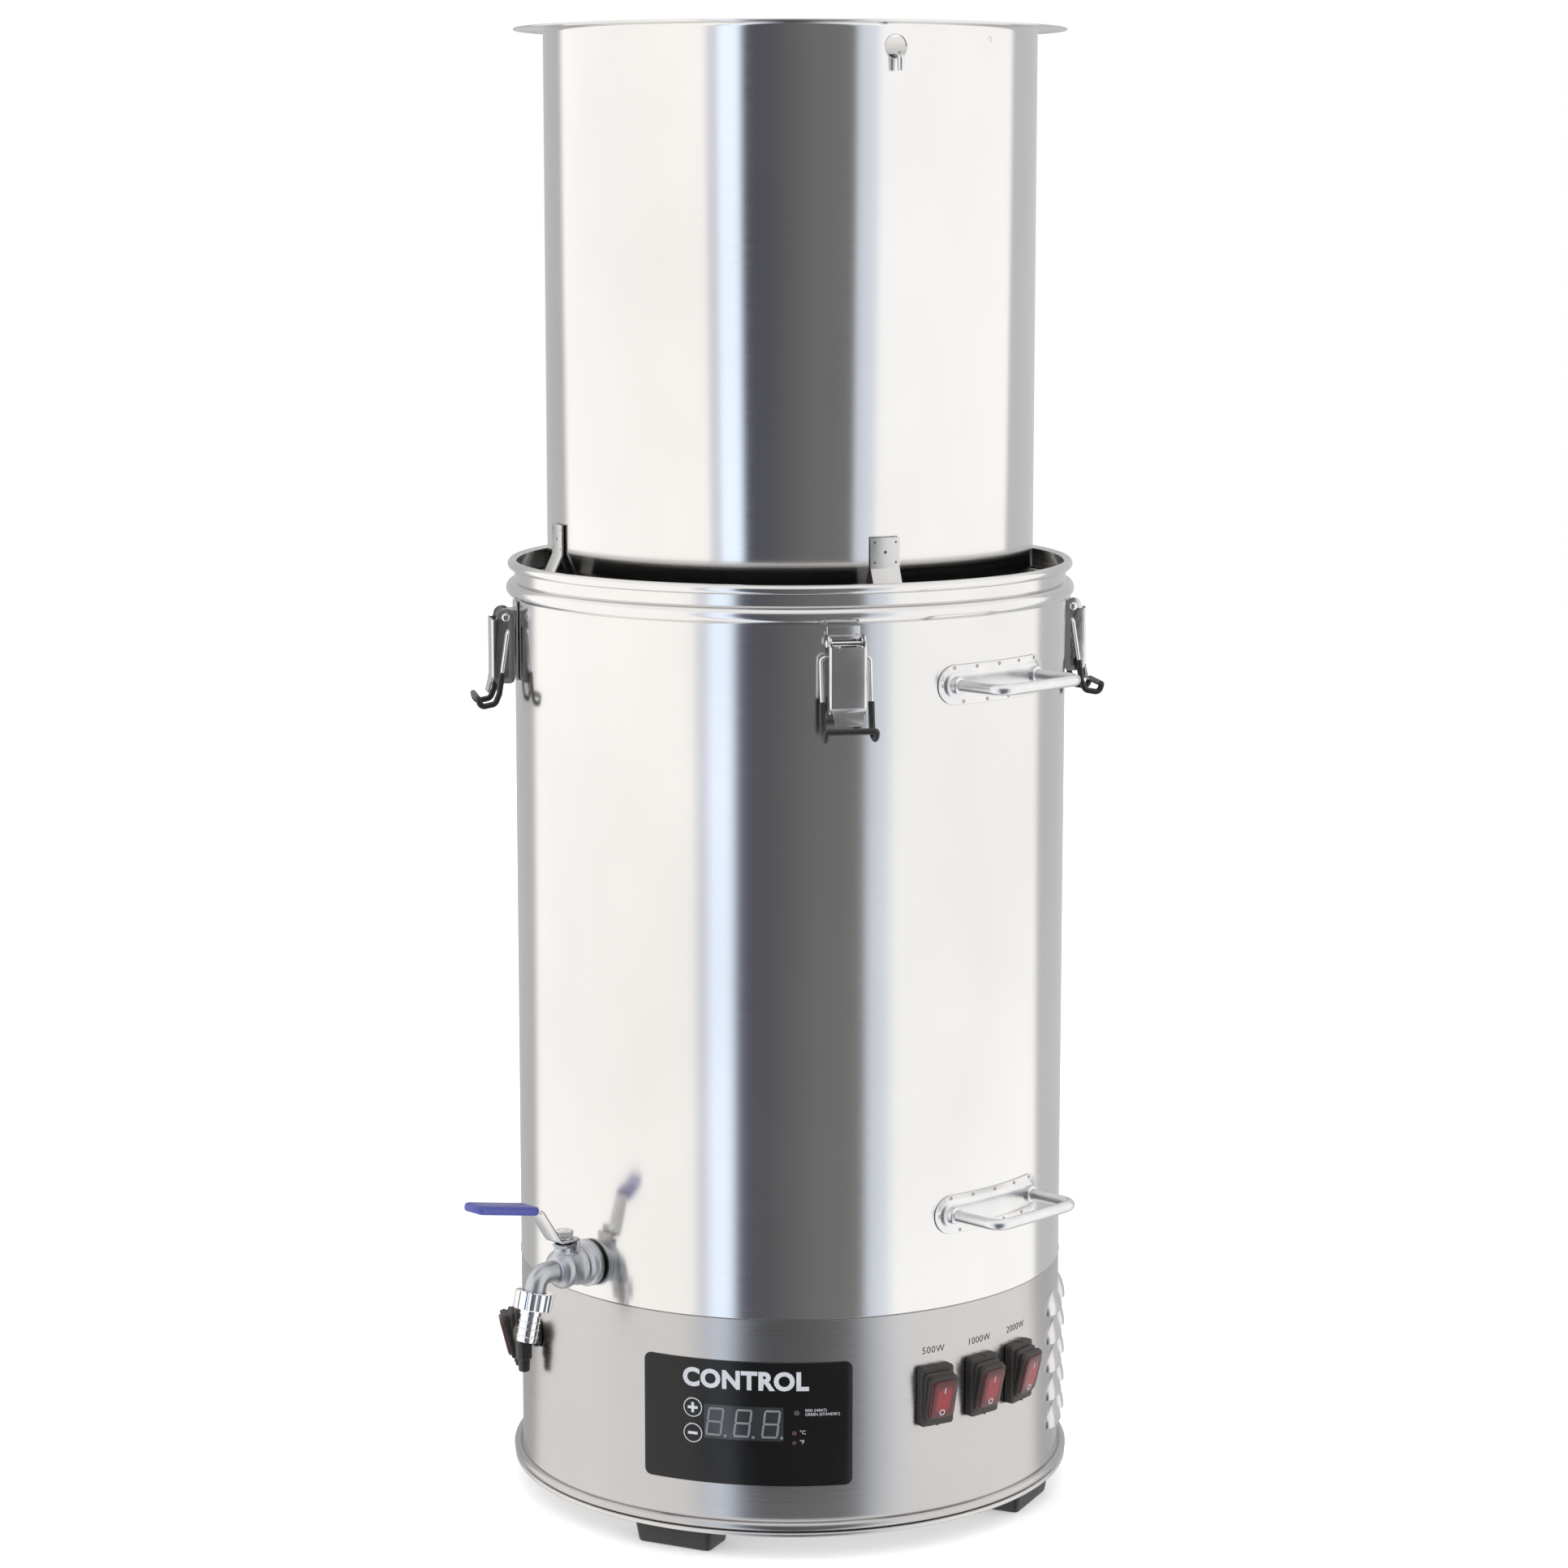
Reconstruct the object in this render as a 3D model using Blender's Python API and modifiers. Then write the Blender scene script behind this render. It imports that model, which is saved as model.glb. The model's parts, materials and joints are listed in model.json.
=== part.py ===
"""Electric brewing kettle with a raised malt pipe, in metres, +Z up.

The origin is on the kettle's axis, at the underside of the base pan. The control panel faces -Y.
An azimuth is measured in degrees from -Y towards +X, seen from above.
"""

import math

import bmesh
import bpy
from mathutils import Matrix, Vector

# Driving dimensions
SHELL_RADIUS = 0.200
WALL = 0.0010
GAP = 0.0003
STEPS = 48

SEAM_Z = 0.1573
BEAD_Z = 0.6508
RIM_Z = 0.6682
FLANGE_TOP_Z = 1.0479

RIM_CURL_RADIUS = 0.0035
RIM_CURL_CENTRE = 0.2012
RIB_RADIUS = 0.0057
RIB_CENTRE = 0.2003
SKIRT_CURL_CENTRE = 0.2030
SKIRT_CURL_Z = 0.0086

PAN_PLATEAU_RADIUS = 0.126
PAN_STEP = 0.0015
PAN_THICKNESS = 0.0012
PAN_LIP_RADIUS = 0.2060

FOOT_AZIMUTH = -16.0
FOOT_SIZE = (0.062, 0.034, 0.0167)
FOOT_CENTRE_RADIUS = 0.181
FOOT_DRAFT = 0.88

PIPE_RADIUS = 0.1758
PIPE_BOTTOM_Z = 0.6255
FLANGE_RADIUS = 0.1970
HOOK_HOLE_AZIMUTH = 32.9
HOOK_HOLE_Z = 1.0308
HOOK_HOLE_RADIUS = 0.0080
BAIL_WIRE_RADIUS = 0.0025

BRACKET_AZIMUTH = 30.5
BRACKET_WIDTH = 0.0215
BRACKET_SHEET = 0.0015
TAB_TOP_Z = 0.6435
BRACKET_BEND_Z = 0.6790
BRACKET_TOP_Z = 0.7005
TOE_RADIUS = 0.1962

LATCH_AZIMUTH = 19.4
LATCH_PIN_RADIUS = 0.2092
LATCH_PIN_Z = 0.6325
LATCH_PIN_THICKNESS = 0.0020
WIRE_RADIUS = 0.0013
SLEEVE_RADIUS = 0.0022

HANDLE_AZIMUTH = 55.2
HANDLE_HEIGHTS = {"lower": 0.2240, "upper": 0.5990}
HANDLE_HALF_WIDTH = 0.0410
HANDLE_REACH = 0.2410
HANDLE_BAR_RADIUS = 0.0040
HANDLE_PLATE = (0.1100, 0.0280)
HANDLE_PLATE_SHEET = 0.0018

PANEL_SIZE = (0.1510, 0.0895)
# The panel as seen straight on, narrower than the film that wraps round the wall
PANEL_SIZE_FLAT = (
    2 * SHELL_RADIUS * math.sin(PANEL_SIZE[0] / 2 / SHELL_RADIUS), PANEL_SIZE[1]
)
PANEL_Z = 0.0821
PANEL_CORNER = 0.0050
WINDOW_SIZE = (0.0560, 0.0240)
WINDOW_Z = 0.0824
BUTTON_AZIMUTH = -10.6
BUTTON_RADIUS = 0.0073
BUTTON_HEIGHTS = {"plus_button": 0.0915, "minus_button": 0.0729}
BUTTON_TRAVEL = 0.0005

SWITCH_Z = 0.0961
SWITCH_AZIMUTHS = {"500w": 39.3, "1000w": 51.2, "2000w": 63.0, "main": -73.0}
BOOT_SIZE = (0.0270, 0.0430)
BOOT_FRONT = 0.2073
ROCKER_SIZE = (0.0224, 0.0290)
ROCKER_TILT = 14.0

LOUVRE_AZIMUTHS = (84.5, 98.0)
LOUVRE_LENGTH = 0.0380
LOUVRE_HEIGHT = 0.0130
LOUVRE_DEPTH = 0.0050
LOUVRE_PITCH = 0.0213
LOUVRE_ROWS = 5
LOUVRE_LOWEST_Z = 0.0357

VALVE_AZIMUTH = -36.0
VALVE_Z = 0.1832
STEM_RADIUS = 0.2255
SPOUT_TURN = 0.2500
SPOUT_LEAN = 14.0
SPOUT_DROP = 0.0180
NUT_DROP = 0.0115
GRIP_RISE = 0.2

FLOOR_Z = 0.1613
ELEMENTS = {"500w": (0.045, 0.065), "1000w": (0.078, 0.102), "2000w": (0.116, 0.148)}
ELEMENT_HEIGHT = 0.0080

GLAND_AZIMUTH = -57.5
GLAND_Z = 0.1125

QUARTERS = (0, 90, 180, 270)


def clear_scene():
    for obj in list(bpy.data.objects):
        bpy.data.objects.remove(obj, do_unlink=True)


def new_collection(name):
    collection = bpy.data.collections.new(name)
    bpy.context.scene.collection.children.link(collection)
    return collection


clear_scene()
PARTS = new_collection("brew_kettle")
CUTTERS = new_collection("cutters")
CUTTERS.hide_render = True


def material(name, color, roughness, metallic, transmission=0.0):
    made = bpy.data.materials.new(name)
    made.use_nodes = True
    shader = made.node_tree.nodes["Principled BSDF"]
    shader.inputs["Base Color"].default_value = (*color, 1.0)
    shader.inputs["Roughness"].default_value = roughness
    shader.inputs["Metallic"].default_value = metallic
    shader.inputs["Transmission Weight"].default_value = transmission
    return made


BRUSHED = material("brushed_steel", (0.62, 0.61, 0.60), 0.32, 1.0)
SHEET = material("sheet_steel", (0.58, 0.57, 0.56), 0.38, 1.0)
CAST = material("cast_steel", (0.50, 0.51, 0.53), 0.45, 1.0)
CHROME = material("chrome", (0.78, 0.79, 0.80), 0.08, 1.0)
BLACK = material("black_plastic", (0.02, 0.02, 0.02), 0.45, 0.0)
RUBBER = material("black_rubber", (0.03, 0.028, 0.027), 0.6, 0.0)
FILM = material("panel_film", (0.008, 0.008, 0.008), 0.25, 0.0)
LENS = material("display_lens", (0.02, 0.02, 0.02), 0.1, 0.0, 0.6)
RED = material("rocker_red", (0.22, 0.012, 0.018), 0.2, 0.0, 0.3)
BLUE = material("grip_blue", (0.05, 0.06, 0.34), 0.4, 0.0)
ALUMINIUM = material("element_aluminium", (0.6, 0.6, 0.6), 0.5, 1.0)


# Helpers

def add_mesh(name, mesh, surface, collection=None):
    obj = bpy.data.objects.new(name, mesh)
    if surface:
        mesh.materials.clear()
        mesh.materials.append(surface)
    (collection or PARTS).objects.link(obj)
    if collection is CUTTERS:
        obj.hide_render = True
        obj.display_type = "WIRE"
    return obj


def smooth(obj, angle=40.0):
    obj.data.shade_smooth()
    obj.data.set_sharp_from_angle(angle=math.radians(angle))
    return obj


def bm_object(name, bm, surface, collection=None):
    bmesh.ops.recalc_face_normals(bm, faces=bm.faces)
    mesh = bpy.data.meshes.new(name)
    bm.to_mesh(mesh)
    bm.free()
    return add_mesh(name, mesh, surface, collection)


def turned(name, profile, surface, steps=STEPS, closed=True):
    """A solid turned round Z from (radius, height) points that run down the outer side."""
    mesh = bpy.data.meshes.new(name)
    count = len(profile)
    edges = [(i, (i + 1) % count) for i in range(count if closed else count - 1)]
    mesh.from_pydata([(r, 0.0, z) for r, z in profile], edges, [])
    obj = add_mesh(name, mesh, surface)
    screw = obj.modifiers.new("turn", "SCREW")
    screw.axis = "Z"
    screw.steps = screw.render_steps = steps
    screw.use_merge_vertices = True
    screw.merge_threshold = 0.00001
    screw.use_smooth_shade = True
    return obj


def arc(centre, radius, start, end, count):
    """Points on a circle in the (radius, height) plane, from one angle in degrees to another."""
    angles = [start + (end - start) * i / (count - 1) for i in range(count)]
    return [
        (
            centre[0] + radius * math.cos(math.radians(angle)),
            centre[1] + radius * math.sin(math.radians(angle)),
        )
        for angle in angles
    ]


def box(name, low, high, surface, collection=None, bevel=0.0):
    """A box between two corners."""
    bm = bmesh.new()
    bmesh.ops.create_cube(bm, size=1.0)
    low, high = Vector(low), Vector(high)
    size = high - low
    bmesh.ops.scale(bm, vec=size, verts=bm.verts)
    bmesh.ops.translate(bm, vec=(low + high) / 2, verts=bm.verts)
    if bevel:
        bmesh.ops.bevel(
            bm, geom=bm.edges[:], offset=bevel, segments=1, affect="EDGES", profile=0.5
        )
    return bm_object(name, bm, surface, collection)


def cylinder(name, radius, length, surface, sides=24, collection=None):
    """A cylinder along Z, centred on the origin."""
    bm = bmesh.new()
    bmesh.ops.create_cone(
        bm, cap_ends=True, segments=sides, depth=length,
        radius1=radius, radius2=radius,
    )
    return bm_object(name, bm, surface, collection)


def mesh_of(obj):
    """The object turned into a plain mesh of its evaluated shape, with its caps welded."""
    bpy.context.view_layer.update()
    graph = bpy.context.evaluated_depsgraph_get()
    mesh = bpy.data.meshes.new_from_object(obj.evaluated_get(graph))
    name, matrix = obj.name, obj.matrix_world.copy()
    owner = obj.users_collection[0]
    surface = obj.data.materials[0] if obj.data.materials else None
    bpy.data.objects.remove(obj, do_unlink=True)
    bm = bmesh.new()
    bm.from_mesh(mesh)
    bmesh.ops.remove_doubles(bm, verts=bm.verts, dist=0.00001)
    bm.to_mesh(mesh)
    bm.free()
    made = add_mesh(name, mesh, surface, owner)
    made.matrix_world = matrix
    return made


def circle_points(centre, radius, sides):
    return [
        (
            centre[0] + radius * math.cos(2 * math.pi * i / sides),
            centre[1] + radius * math.sin(2 * math.pi * i / sides),
        )
        for i in range(sides)
    ]


def rounded_outline(width, height, radius, per_corner=4):
    """A rectangle with round corners, centred on the origin, as (x, y) points."""
    half_w, half_h = width / 2 - radius, height / 2 - radius
    points = []
    for sx, sy, start in ((1, 1, 0), (-1, 1, 90), (-1, -1, 180), (1, -1, 270)):
        points += arc((sx * half_w, sy * half_h), radius, start, start + 90, per_corner)
    return points


def flat_plate(name, outlines, thickness, surface, collection=None):
    """A flat outline in XY, with any further outlines as holes, extruded evenly about Z = 0."""
    curve = bpy.data.curves.new(name, "CURVE")
    curve.dimensions = "2D"
    curve.fill_mode = "BOTH"
    curve.extrude = thickness / 2
    for points in outlines:
        spline = curve.splines.new("POLY")
        spline.points.add(len(points) - 1)
        for point, (x, y) in zip(spline.points, points):
            point.co = (x, y, 0.0, 1.0)
        spline.use_cyclic_u = True
    if surface:
        curve.materials.append(surface)
    obj = bpy.data.objects.new(name, curve)
    (collection or PARTS).objects.link(obj)
    if collection is CUTTERS:
        obj.hide_render = True
        obj.display_type = "WIRE"
    return mesh_of(obj)


def wire(name, points, radius, surface, resolution=1, scales=None):
    """A round wire along points, with its own thickness factor at each point where scales are given."""
    curve = bpy.data.curves.new(name, "CURVE")
    curve.dimensions = "3D"
    curve.bevel_depth = radius
    curve.bevel_resolution = resolution
    curve.use_fill_caps = True
    spline = curve.splines.new("POLY")
    spline.points.add(len(points) - 1)
    for i, (point, place) in enumerate(zip(spline.points, points)):
        point.co = (*place, 1.0)
        point.radius = scales[i] if scales else 1.0
    curve.materials.append(surface)
    obj = bpy.data.objects.new(name, curve)
    PARTS.objects.link(obj)
    return mesh_of(obj)


def fillet(points, radius, count=4):
    """A path whose inner corners are rounded by arcs of count points."""
    path = [Vector(points[0])]
    for before, corner, after in zip(points, points[1:], points[2:]):
        corner = Vector(corner)
        back = (Vector(before) - corner).normalized()
        ahead = (Vector(after) - corner).normalized()
        half = back.angle(ahead) / 2
        reach = radius / math.tan(half)
        centre = corner + (back + ahead).normalized() * radius / math.sin(half)
        start = corner + back * reach - centre
        end = corner + ahead * reach - centre
        turn = start.rotation_difference(end)
        for i in range(count):
            part = turn.copy()
            part.angle = turn.angle * i / (count - 1)
            path.append(centre + part @ start)
    path.append(Vector(points[-1]))
    return path


def boolean(obj, other, operation):
    modifier = obj.modifiers.new(operation.lower(), "BOOLEAN")
    modifier.object = other
    modifier.operation = operation
    modifier.solver = "EXACT"
    return obj


def cut(obj, cutter):
    return boolean(obj, cutter, "DIFFERENCE")


def join(obj, *others):
    """Unites the others with obj and removes them."""
    for other in others:
        boolean(obj, other, "UNION")
    made = mesh_of(obj)
    for other in others:
        bpy.data.objects.remove(other, do_unlink=True)
    return made


def outward(azimuth, radius=1.0, z=0.0):
    """The point at this azimuth, distance from the axis and height."""
    angle = math.radians(azimuth)
    return Vector((radius * math.sin(angle), -radius * math.cos(angle), z))


def place(obj, azimuth, radius, z):
    """Puts an object whose front is -Y at this azimuth, radius and height."""
    obj.location = outward(azimuth, radius, z)
    obj.rotation_euler = (0.0, 0.0, math.radians(azimuth))
    return obj


def stand_radial(obj):
    """Turns an object made along +Z so that it points along -Y, away from the kettle."""
    obj.data.transform(Matrix.Rotation(math.radians(90), 4, "X"))
    return obj


def wrapped(name, outline, inner, outer, azimuth, z, surface, holes=()):
    """A curved plate between two radii round the kettle, with an outline of (across, up) points."""
    depth = 2 * (outer - inner) + 0.06
    ring = turned(
        name, [(outer, z + 0.08), (outer, z - 0.08), (inner, z - 0.08), (inner, z + 0.08)], surface
    )
    prism = stand_radial(flat_plate(name + "_outline", (outline, *holes), depth, None, CUTTERS))
    place(prism, azimuth, (inner + outer) / 2, z)
    boolean(ring, prism, "INTERSECT")
    return smooth(mesh_of(ring), 20)


# Kettle body

def kettle_shell():
    half = 75
    rib = arc((RIB_CENTRE, BEAD_Z), RIB_RADIUS, half, -half, 5)
    groove = arc((RIB_CENTRE, BEAD_Z), RIB_RADIUS - WALL, -half, half, 4)
    inner = SHELL_RADIUS - WALL
    curl = arc((RIM_CURL_CENTRE, RIM_Z), RIM_CURL_RADIUS, 150, -115, 7)
    profile = curl + [(SHELL_RADIUS, BEAD_Z + 0.0065)] + rib[:]
    profile += [(SHELL_RADIUS, BEAD_Z - 0.0065), (SHELL_RADIUS, SEAM_Z + GAP / 2)]
    profile += [(inner, SEAM_Z + GAP / 2), (inner, BEAD_Z - 0.0060)] + groove
    profile += [(inner, BEAD_Z + 0.0060), (inner, RIM_Z - 0.0040)]
    shell = turned("kettle_shell", profile, BRUSHED)
    tabs = []
    for turn in QUARTERS:
        tab = box("tab", (-0.012, -0.0092, -0.002), (0.012, 0.0, 0.0), BRUSHED)
        tabs.append(place(tab, BRACKET_AZIMUTH + turn, 0.1902, TAB_TOP_Z))
    shell = join(shell, *tabs)
    hole = cylinder("tap_hole", 0.0108, 0.03, None, collection=CUTTERS)
    place(stand_radial(hole), VALVE_AZIMUTH, SHELL_RADIUS, VALVE_Z)
    cut(shell, hole)
    return smooth(shell)


def kettle_floor():
    radius = SHELL_RADIUS - WALL - GAP
    top = FLOOR_Z + PAN_THICKNESS
    floor = turned(
        "kettle_floor", [(0.0, top), (radius, top), (radius, FLOOR_Z), (0.0, FLOOR_Z)],
        SHEET, closed=False,
    )
    return smooth(floor)


def heating_elements():
    for rating, (inner, outer) in ELEMENTS.items():
        top = FLOOR_Z - GAP
        low = top - ELEMENT_HEIGHT
        ring = turned(
            f"heating_element_{rating}",
            [(outer, top), (outer, low), (inner, low), (inner, top)], ALUMINIUM, steps=36,
        )
        smooth(ring)


def louvre_hood(inset):
    """One pressed hood as a bm wedge: flush at its top, standing out at its open lower edge."""
    half = LOUVRE_LENGTH / 2 - inset
    depth = LOUVRE_DEPTH - inset
    sink = 0.004
    low = -inset * 3
    high = LOUVRE_HEIGHT - inset * 2
    bm = bmesh.new()
    rows = []
    for x, reach in ((-half, 0.0), (-half * 0.72, depth), (half * 0.72, depth), (half, 0.0)):
        sag = SHELL_RADIUS - math.sqrt(SHELL_RADIUS**2 - x**2)
        back = sag + sink
        front = sag - reach - 0.0002
        rows.append([
            bm.verts.new((x, back, low)), bm.verts.new((x, front, low)),
            bm.verts.new((x, sag - 0.0002, high)), bm.verts.new((x, back, high)),
        ])
    for first, second in zip(rows, rows[1:]):
        for i in range(4):
            j = (i + 1) % 4
            bm.faces.new((first[i], first[j], second[j], second[i]))
    bm.faces.new(rows[0])
    bm.faces.new(rows[-1][::-1])
    bmesh.ops.triangulate(bm, faces=bm.faces)
    return bm


def louvre_set(name, inset, surface, collection):
    """All hoods, or all the hollows behind them, as one mesh."""
    whole = bmesh.new()
    for azimuth in LOUVRE_AZIMUTHS:
        for row in range(LOUVRE_ROWS):
            mesh = bpy.data.meshes.new("hood")
            bm = louvre_hood(inset)
            z = LOUVRE_LOWEST_Z + row * LOUVRE_PITCH
            turn = Matrix.Rotation(math.radians(azimuth), 4, "Z")
            bm.transform(Matrix.Translation(outward(azimuth, SHELL_RADIUS, z)) @ turn)
            bm.to_mesh(mesh)
            bm.free()
            whole.from_mesh(mesh)
            bpy.data.meshes.remove(mesh)
    return bm_object(name, whole, surface, collection)


def base_skirt():
    inner = SHELL_RADIUS - WALL
    curl = arc((SKIRT_CURL_CENTRE, SKIRT_CURL_Z), RIM_CURL_RADIUS, 115, -115, 6)
    profile = [(SHELL_RADIUS, SEAM_Z - GAP / 2), (SHELL_RADIUS, SKIRT_CURL_Z + 0.0045)] + curl
    profile += [(inner, SKIRT_CURL_Z - 0.0020), (inner, SEAM_Z - GAP / 2)]
    skirt = turned("base_skirt", profile, BRUSHED)
    skirt = join(skirt, louvre_set("hoods", 0.0, BRUSHED, PARTS))
    cut(skirt, louvre_set("hollows", 0.0009, None, CUTTERS))
    for name, azimuth in SWITCH_AZIMUTHS.items():
        hole = box(
            f"switch_hole_{name}", (-0.0108, -0.01, -0.0158), (0.0108, 0.01, 0.0158), None, CUTTERS
        )
        cut(skirt, place(hole, azimuth, SHELL_RADIUS, SWITCH_Z))
    window = box("window_hole", (-0.0270, -0.01, -0.0115), (0.0270, 0.01, 0.0115), None, CUTTERS)
    cut(skirt, place(window, 0.0, SHELL_RADIUS - 0.001, WINDOW_Z))
    for name, z in BUTTON_HEIGHTS.items():
        hole = cylinder(f"{name}_hole", 0.0046, 0.02, None, 12, CUTTERS)
        cut(skirt, place(stand_radial(hole), BUTTON_AZIMUTH, SHELL_RADIUS, z))
    hole = cylinder("gland_hole", 0.0078, 0.02, None, 16, CUTTERS)
    cut(skirt, place(stand_radial(hole), GLAND_AZIMUTH, SHELL_RADIUS, GLAND_Z))
    return smooth(mesh_of(skirt))


def base_pan():
    step, thick = PAN_STEP, PAN_THICKNESS
    lip_top = SKIRT_CURL_Z - RIM_CURL_RADIUS - GAP
    profile = [
        (0.0, thick), (PAN_PLATEAU_RADIUS - 0.001, thick),
        (PAN_PLATEAU_RADIUS + 0.001, step + thick), (0.1900, step + thick),
        (0.1910, lip_top), (PAN_LIP_RADIUS - 0.0008, lip_top), (PAN_LIP_RADIUS, lip_top - 0.0010),
        (PAN_LIP_RADIUS - 0.0006, step), (PAN_PLATEAU_RADIUS + 0.001, step),
        (PAN_PLATEAU_RADIUS - 0.001, 0.0), (0.0, 0.0),
    ]
    return smooth(turned("base_pan", profile, SHEET, closed=False))


def feet():
    width, depth, height = FOOT_SIZE
    for number, turn in enumerate(QUARTERS, 1):
        bm = bmesh.new()
        bmesh.ops.create_cube(bm, size=1.0)
        bmesh.ops.scale(bm, vec=FOOT_SIZE, verts=bm.verts)
        sole = [vert for vert in bm.verts if vert.co.z < 0]
        bmesh.ops.scale(bm, vec=(FOOT_DRAFT, FOOT_DRAFT, 1.0), verts=sole)
        edges = [edge for edge in bm.edges if min(v.co.z for v in edge.verts) < 0]
        bmesh.ops.bevel(bm, geom=edges, offset=0.0018, segments=1, affect="EDGES", profile=0.5)
        bmesh.ops.translate(bm, vec=(0, 0, -height / 2), verts=bm.verts)
        foot = bm_object(f"foot_{number}", bm, RUBBER)
        place(foot, FOOT_AZIMUTH + turn, FOOT_CENTRE_RADIUS, PAN_STEP - GAP)


# Controls

def button_hole(z):
    across = SHELL_RADIUS * math.sin(math.radians(BUTTON_AZIMUTH))
    return circle_points((across, z - PANEL_Z), BUTTON_RADIUS + 0.0004, 20)


def control_panel():
    outline = rounded_outline(*PANEL_SIZE_FLAT, PANEL_CORNER)
    window = [
        (x, y + WINDOW_Z - PANEL_Z)
        for x, y in rounded_outline(WINDOW_SIZE[0], WINDOW_SIZE[1], 0.001, 2)
    ]
    holes = [window] + [button_hole(z) for z in BUTTON_HEIGHTS.values()]
    inner = SHELL_RADIUS + GAP
    wrapped("control_panel", outline, inner, inner + 0.0009, 0.0, PANEL_Z, FILM, holes)
    lens = rounded_outline(WINDOW_SIZE[0] - 2 * GAP, WINDOW_SIZE[1] - 2 * GAP, 0.001, 2)
    wrapped("display_lens", lens, inner, inner + 0.0007, 0.0, WINDOW_Z, LENS)



def buttons():
    """Each button is a round cap on a plunger, with its origin on its line of travel."""
    for name, z in BUTTON_HEIGHTS.items():
        cap = cylinder(name, BUTTON_RADIUS, 0.0010, BLACK, 20)
        cap.data.transform(Matrix.Translation((0, 0, 0.0015)))
        plunger = cylinder("plunger", 0.0040, 0.0050, BLACK, 12)
        plunger.data.transform(Matrix.Translation((0, 0, -0.0012)))
        button = stand_radial(join(cap, plunger))
        place(smooth(button), BUTTON_AZIMUTH, SHELL_RADIUS + BUTTON_TRAVEL, z)


def switches():
    width, height = BOOT_SIZE
    rocker_w, rocker_h = ROCKER_SIZE
    for name, azimuth in SWITCH_AZIMUTHS.items():
        back = SHELL_RADIUS + GAP
        boot = box(
            f"switch_boot_{name}", (-width / 2, -BOOT_FRONT, -height / 2),
            (width / 2, -back, height / 2), RUBBER, bevel=0.0012,
        )
        body = box("body", (-0.0102, -back - 0.001, -0.0152), (0.0102, -0.176, 0.0152), RUBBER)
        boot = join(boot, body)
        pocket = box(
            f"pocket_{name}", (-rocker_w / 2 - 0.0005, -BOOT_FRONT - 0.01, -0.0158),
            (rocker_w / 2 + 0.0005, -BOOT_FRONT + 0.0055, 0.0158), None, CUTTERS,
        )
        place(boot, azimuth, 0.0, SWITCH_Z)
        cut(boot, place(pocket, azimuth, 0.0, SWITCH_Z))
        rocker = box(
            f"rocker_{name}", (-rocker_w / 2, -0.0042, -rocker_h / 2),
            (rocker_w / 2, 0.0012, rocker_h / 2), RED, bevel=0.0008,
        )
        rocker.data.transform(Matrix.Rotation(math.radians(ROCKER_TILT), 4, "X"))
        place(rocker, azimuth, BOOT_FRONT, SWITCH_Z)


# Tap

def tap_frame(obj):
    """Puts an object made with its bore along +Z from the kettle's axis onto the tap's line."""
    stand_radial(obj)
    return place(obj, VALVE_AZIMUTH, 0.0, VALVE_Z)


def spout_points(start, drop):
    """The spout's path in the tap's own frame, where -Y is outwards."""
    lean = math.radians(SPOUT_LEAN)
    corner = Vector((0.0, -SPOUT_TURN, 0.0))
    end = corner + drop * Vector((0.0, -math.sin(lean), -math.cos(lean)))
    return fillet([(0.0, -start, 0.0), corner, end], 0.009, 5)


def lean_frame(obj, drop):
    """Puts an object made along -Z from the origin onto the spout's leaning outlet."""
    lean = math.radians(SPOUT_LEAN)
    obj.data.transform(Matrix.Rotation(lean, 4, "X").inverted())
    offset = Vector((0.0, -SPOUT_TURN - drop * math.sin(lean), -drop * math.cos(lean)))
    obj.data.transform(Matrix.Translation(offset))
    return place(obj, VALVE_AZIMUTH, 0.0, VALVE_Z)


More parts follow.
